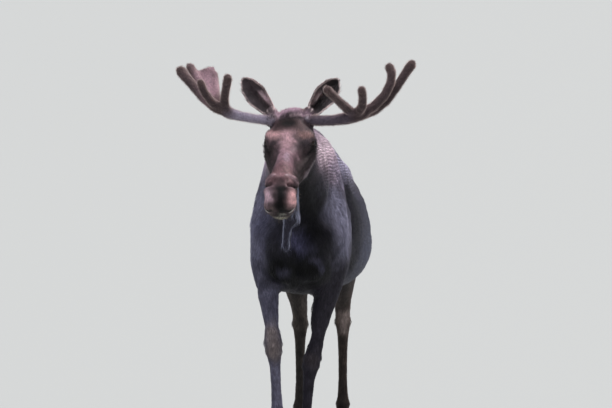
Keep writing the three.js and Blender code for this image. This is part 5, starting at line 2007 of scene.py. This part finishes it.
# %% [markdown]
# ## Light
# Lamps close by would light the nose more than the rump. A soft sky and two broad suns light all
# of the animal alike: the key from above and behind at its left, which lightens the crown, the
# back and the tops of ears and antlers, and a softer one from above and ahead.

# %% Lights
SKY_COLOUR = (0.88, 0.92, 1.0, 1)
SKY_STRENGTH = 0.36
# name, the way towards it, strength, how wide it is in degrees, colour.
SUNS = (
    ("key from above and behind", (0.55, 0.45, 1.0), 2.7, 14, (1.0, 0.96, 0.93)),
    ("soft light from above", (-0.1, -0.5, 1.0), 1.4, 35, (0.93, 0.96, 1.0)),
)
world = bpy.data.worlds.new("studio sky")
world.use_nodes = True
background = world.node_tree.nodes["Background"]
background.inputs["Color"].default_value = SKY_COLOUR
background.inputs["Strength"].default_value = SKY_STRENGTH
bpy.context.scene.world = world


def sun(name, toward, strength, softness, colour):
    light = bpy.data.lights.new(name, "SUN")
    light.energy = strength
    light.angle = math.radians(softness)
    light.color = colour
    lamp = bpy.data.objects.new(name, light)
    lamp.rotation_mode = "QUATERNION"
    lamp.rotation_quaternion = Vector(toward).to_track_quat("Z", "Y")
    bpy.context.scene.collection.objects.link(lamp)


for settings in SUNS:
    sun(*settings)
print(len(SUNS), "suns and a sky")

# %% [markdown]
# ## Camera
# The camera stands far off with a long lens, low, a little to the animal's left, as one would
# stand in a meadow. Close by, the nose would look swollen. From 25 m, a lens of about 306 mm
# takes in 3 m of width, and all parts keep their true proportions.

# %% Camera
CAMERA_AZIMUTH = math.radians(4.8)
CAMERA_ELEVATION = math.radians(4.0)
CAMERA_DISTANCE = 25.0
CAMERA_TARGET = HOME + np.array([0.0235, 0, 1.306])
CAMERA_SEES = 400
SENSOR_WIDTH = 36
LENS = 305.88235

camera_data = bpy.data.cameras.new("camera")
camera = bpy.data.objects.new("camera", camera_data)
bpy.context.scene.collection.objects.link(camera)
back = Vector((
    math.sin(CAMERA_AZIMUTH) * math.cos(CAMERA_ELEVATION),
    -math.cos(CAMERA_AZIMUTH) * math.cos(CAMERA_ELEVATION),
    math.sin(CAMERA_ELEVATION),
))
camera.location = Vector(CAMERA_TARGET) + back * CAMERA_DISTANCE
camera.rotation_mode = "QUATERNION"
camera.rotation_quaternion = back.to_track_quat("Z", "Y")
camera_data.sensor_width = SENSOR_WIDTH
camera_data.lens = LENS
camera_data.clip_end = CAMERA_SEES
bpy.context.scene.camera = camera
bpy.context.scene.view_settings.view_transform = "Standard"
print("camera lens", round(camera_data.lens, 1), "mm")

# %% [markdown]
# ## Finish
# The size of the finished model is written beside the size of the frame, so that the two can be
# compared.

# %% Print the sizes and finish
VISUAL_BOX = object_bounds()
boxes = {"cad": CAD_BOX, "visual": VISUAL_BOX}
sizes = {name: [list(corner) for corner in box] for name, box in boxes.items()}
print("sizes", sizes, "after", round(time.time() - STARTED, 1), "s")
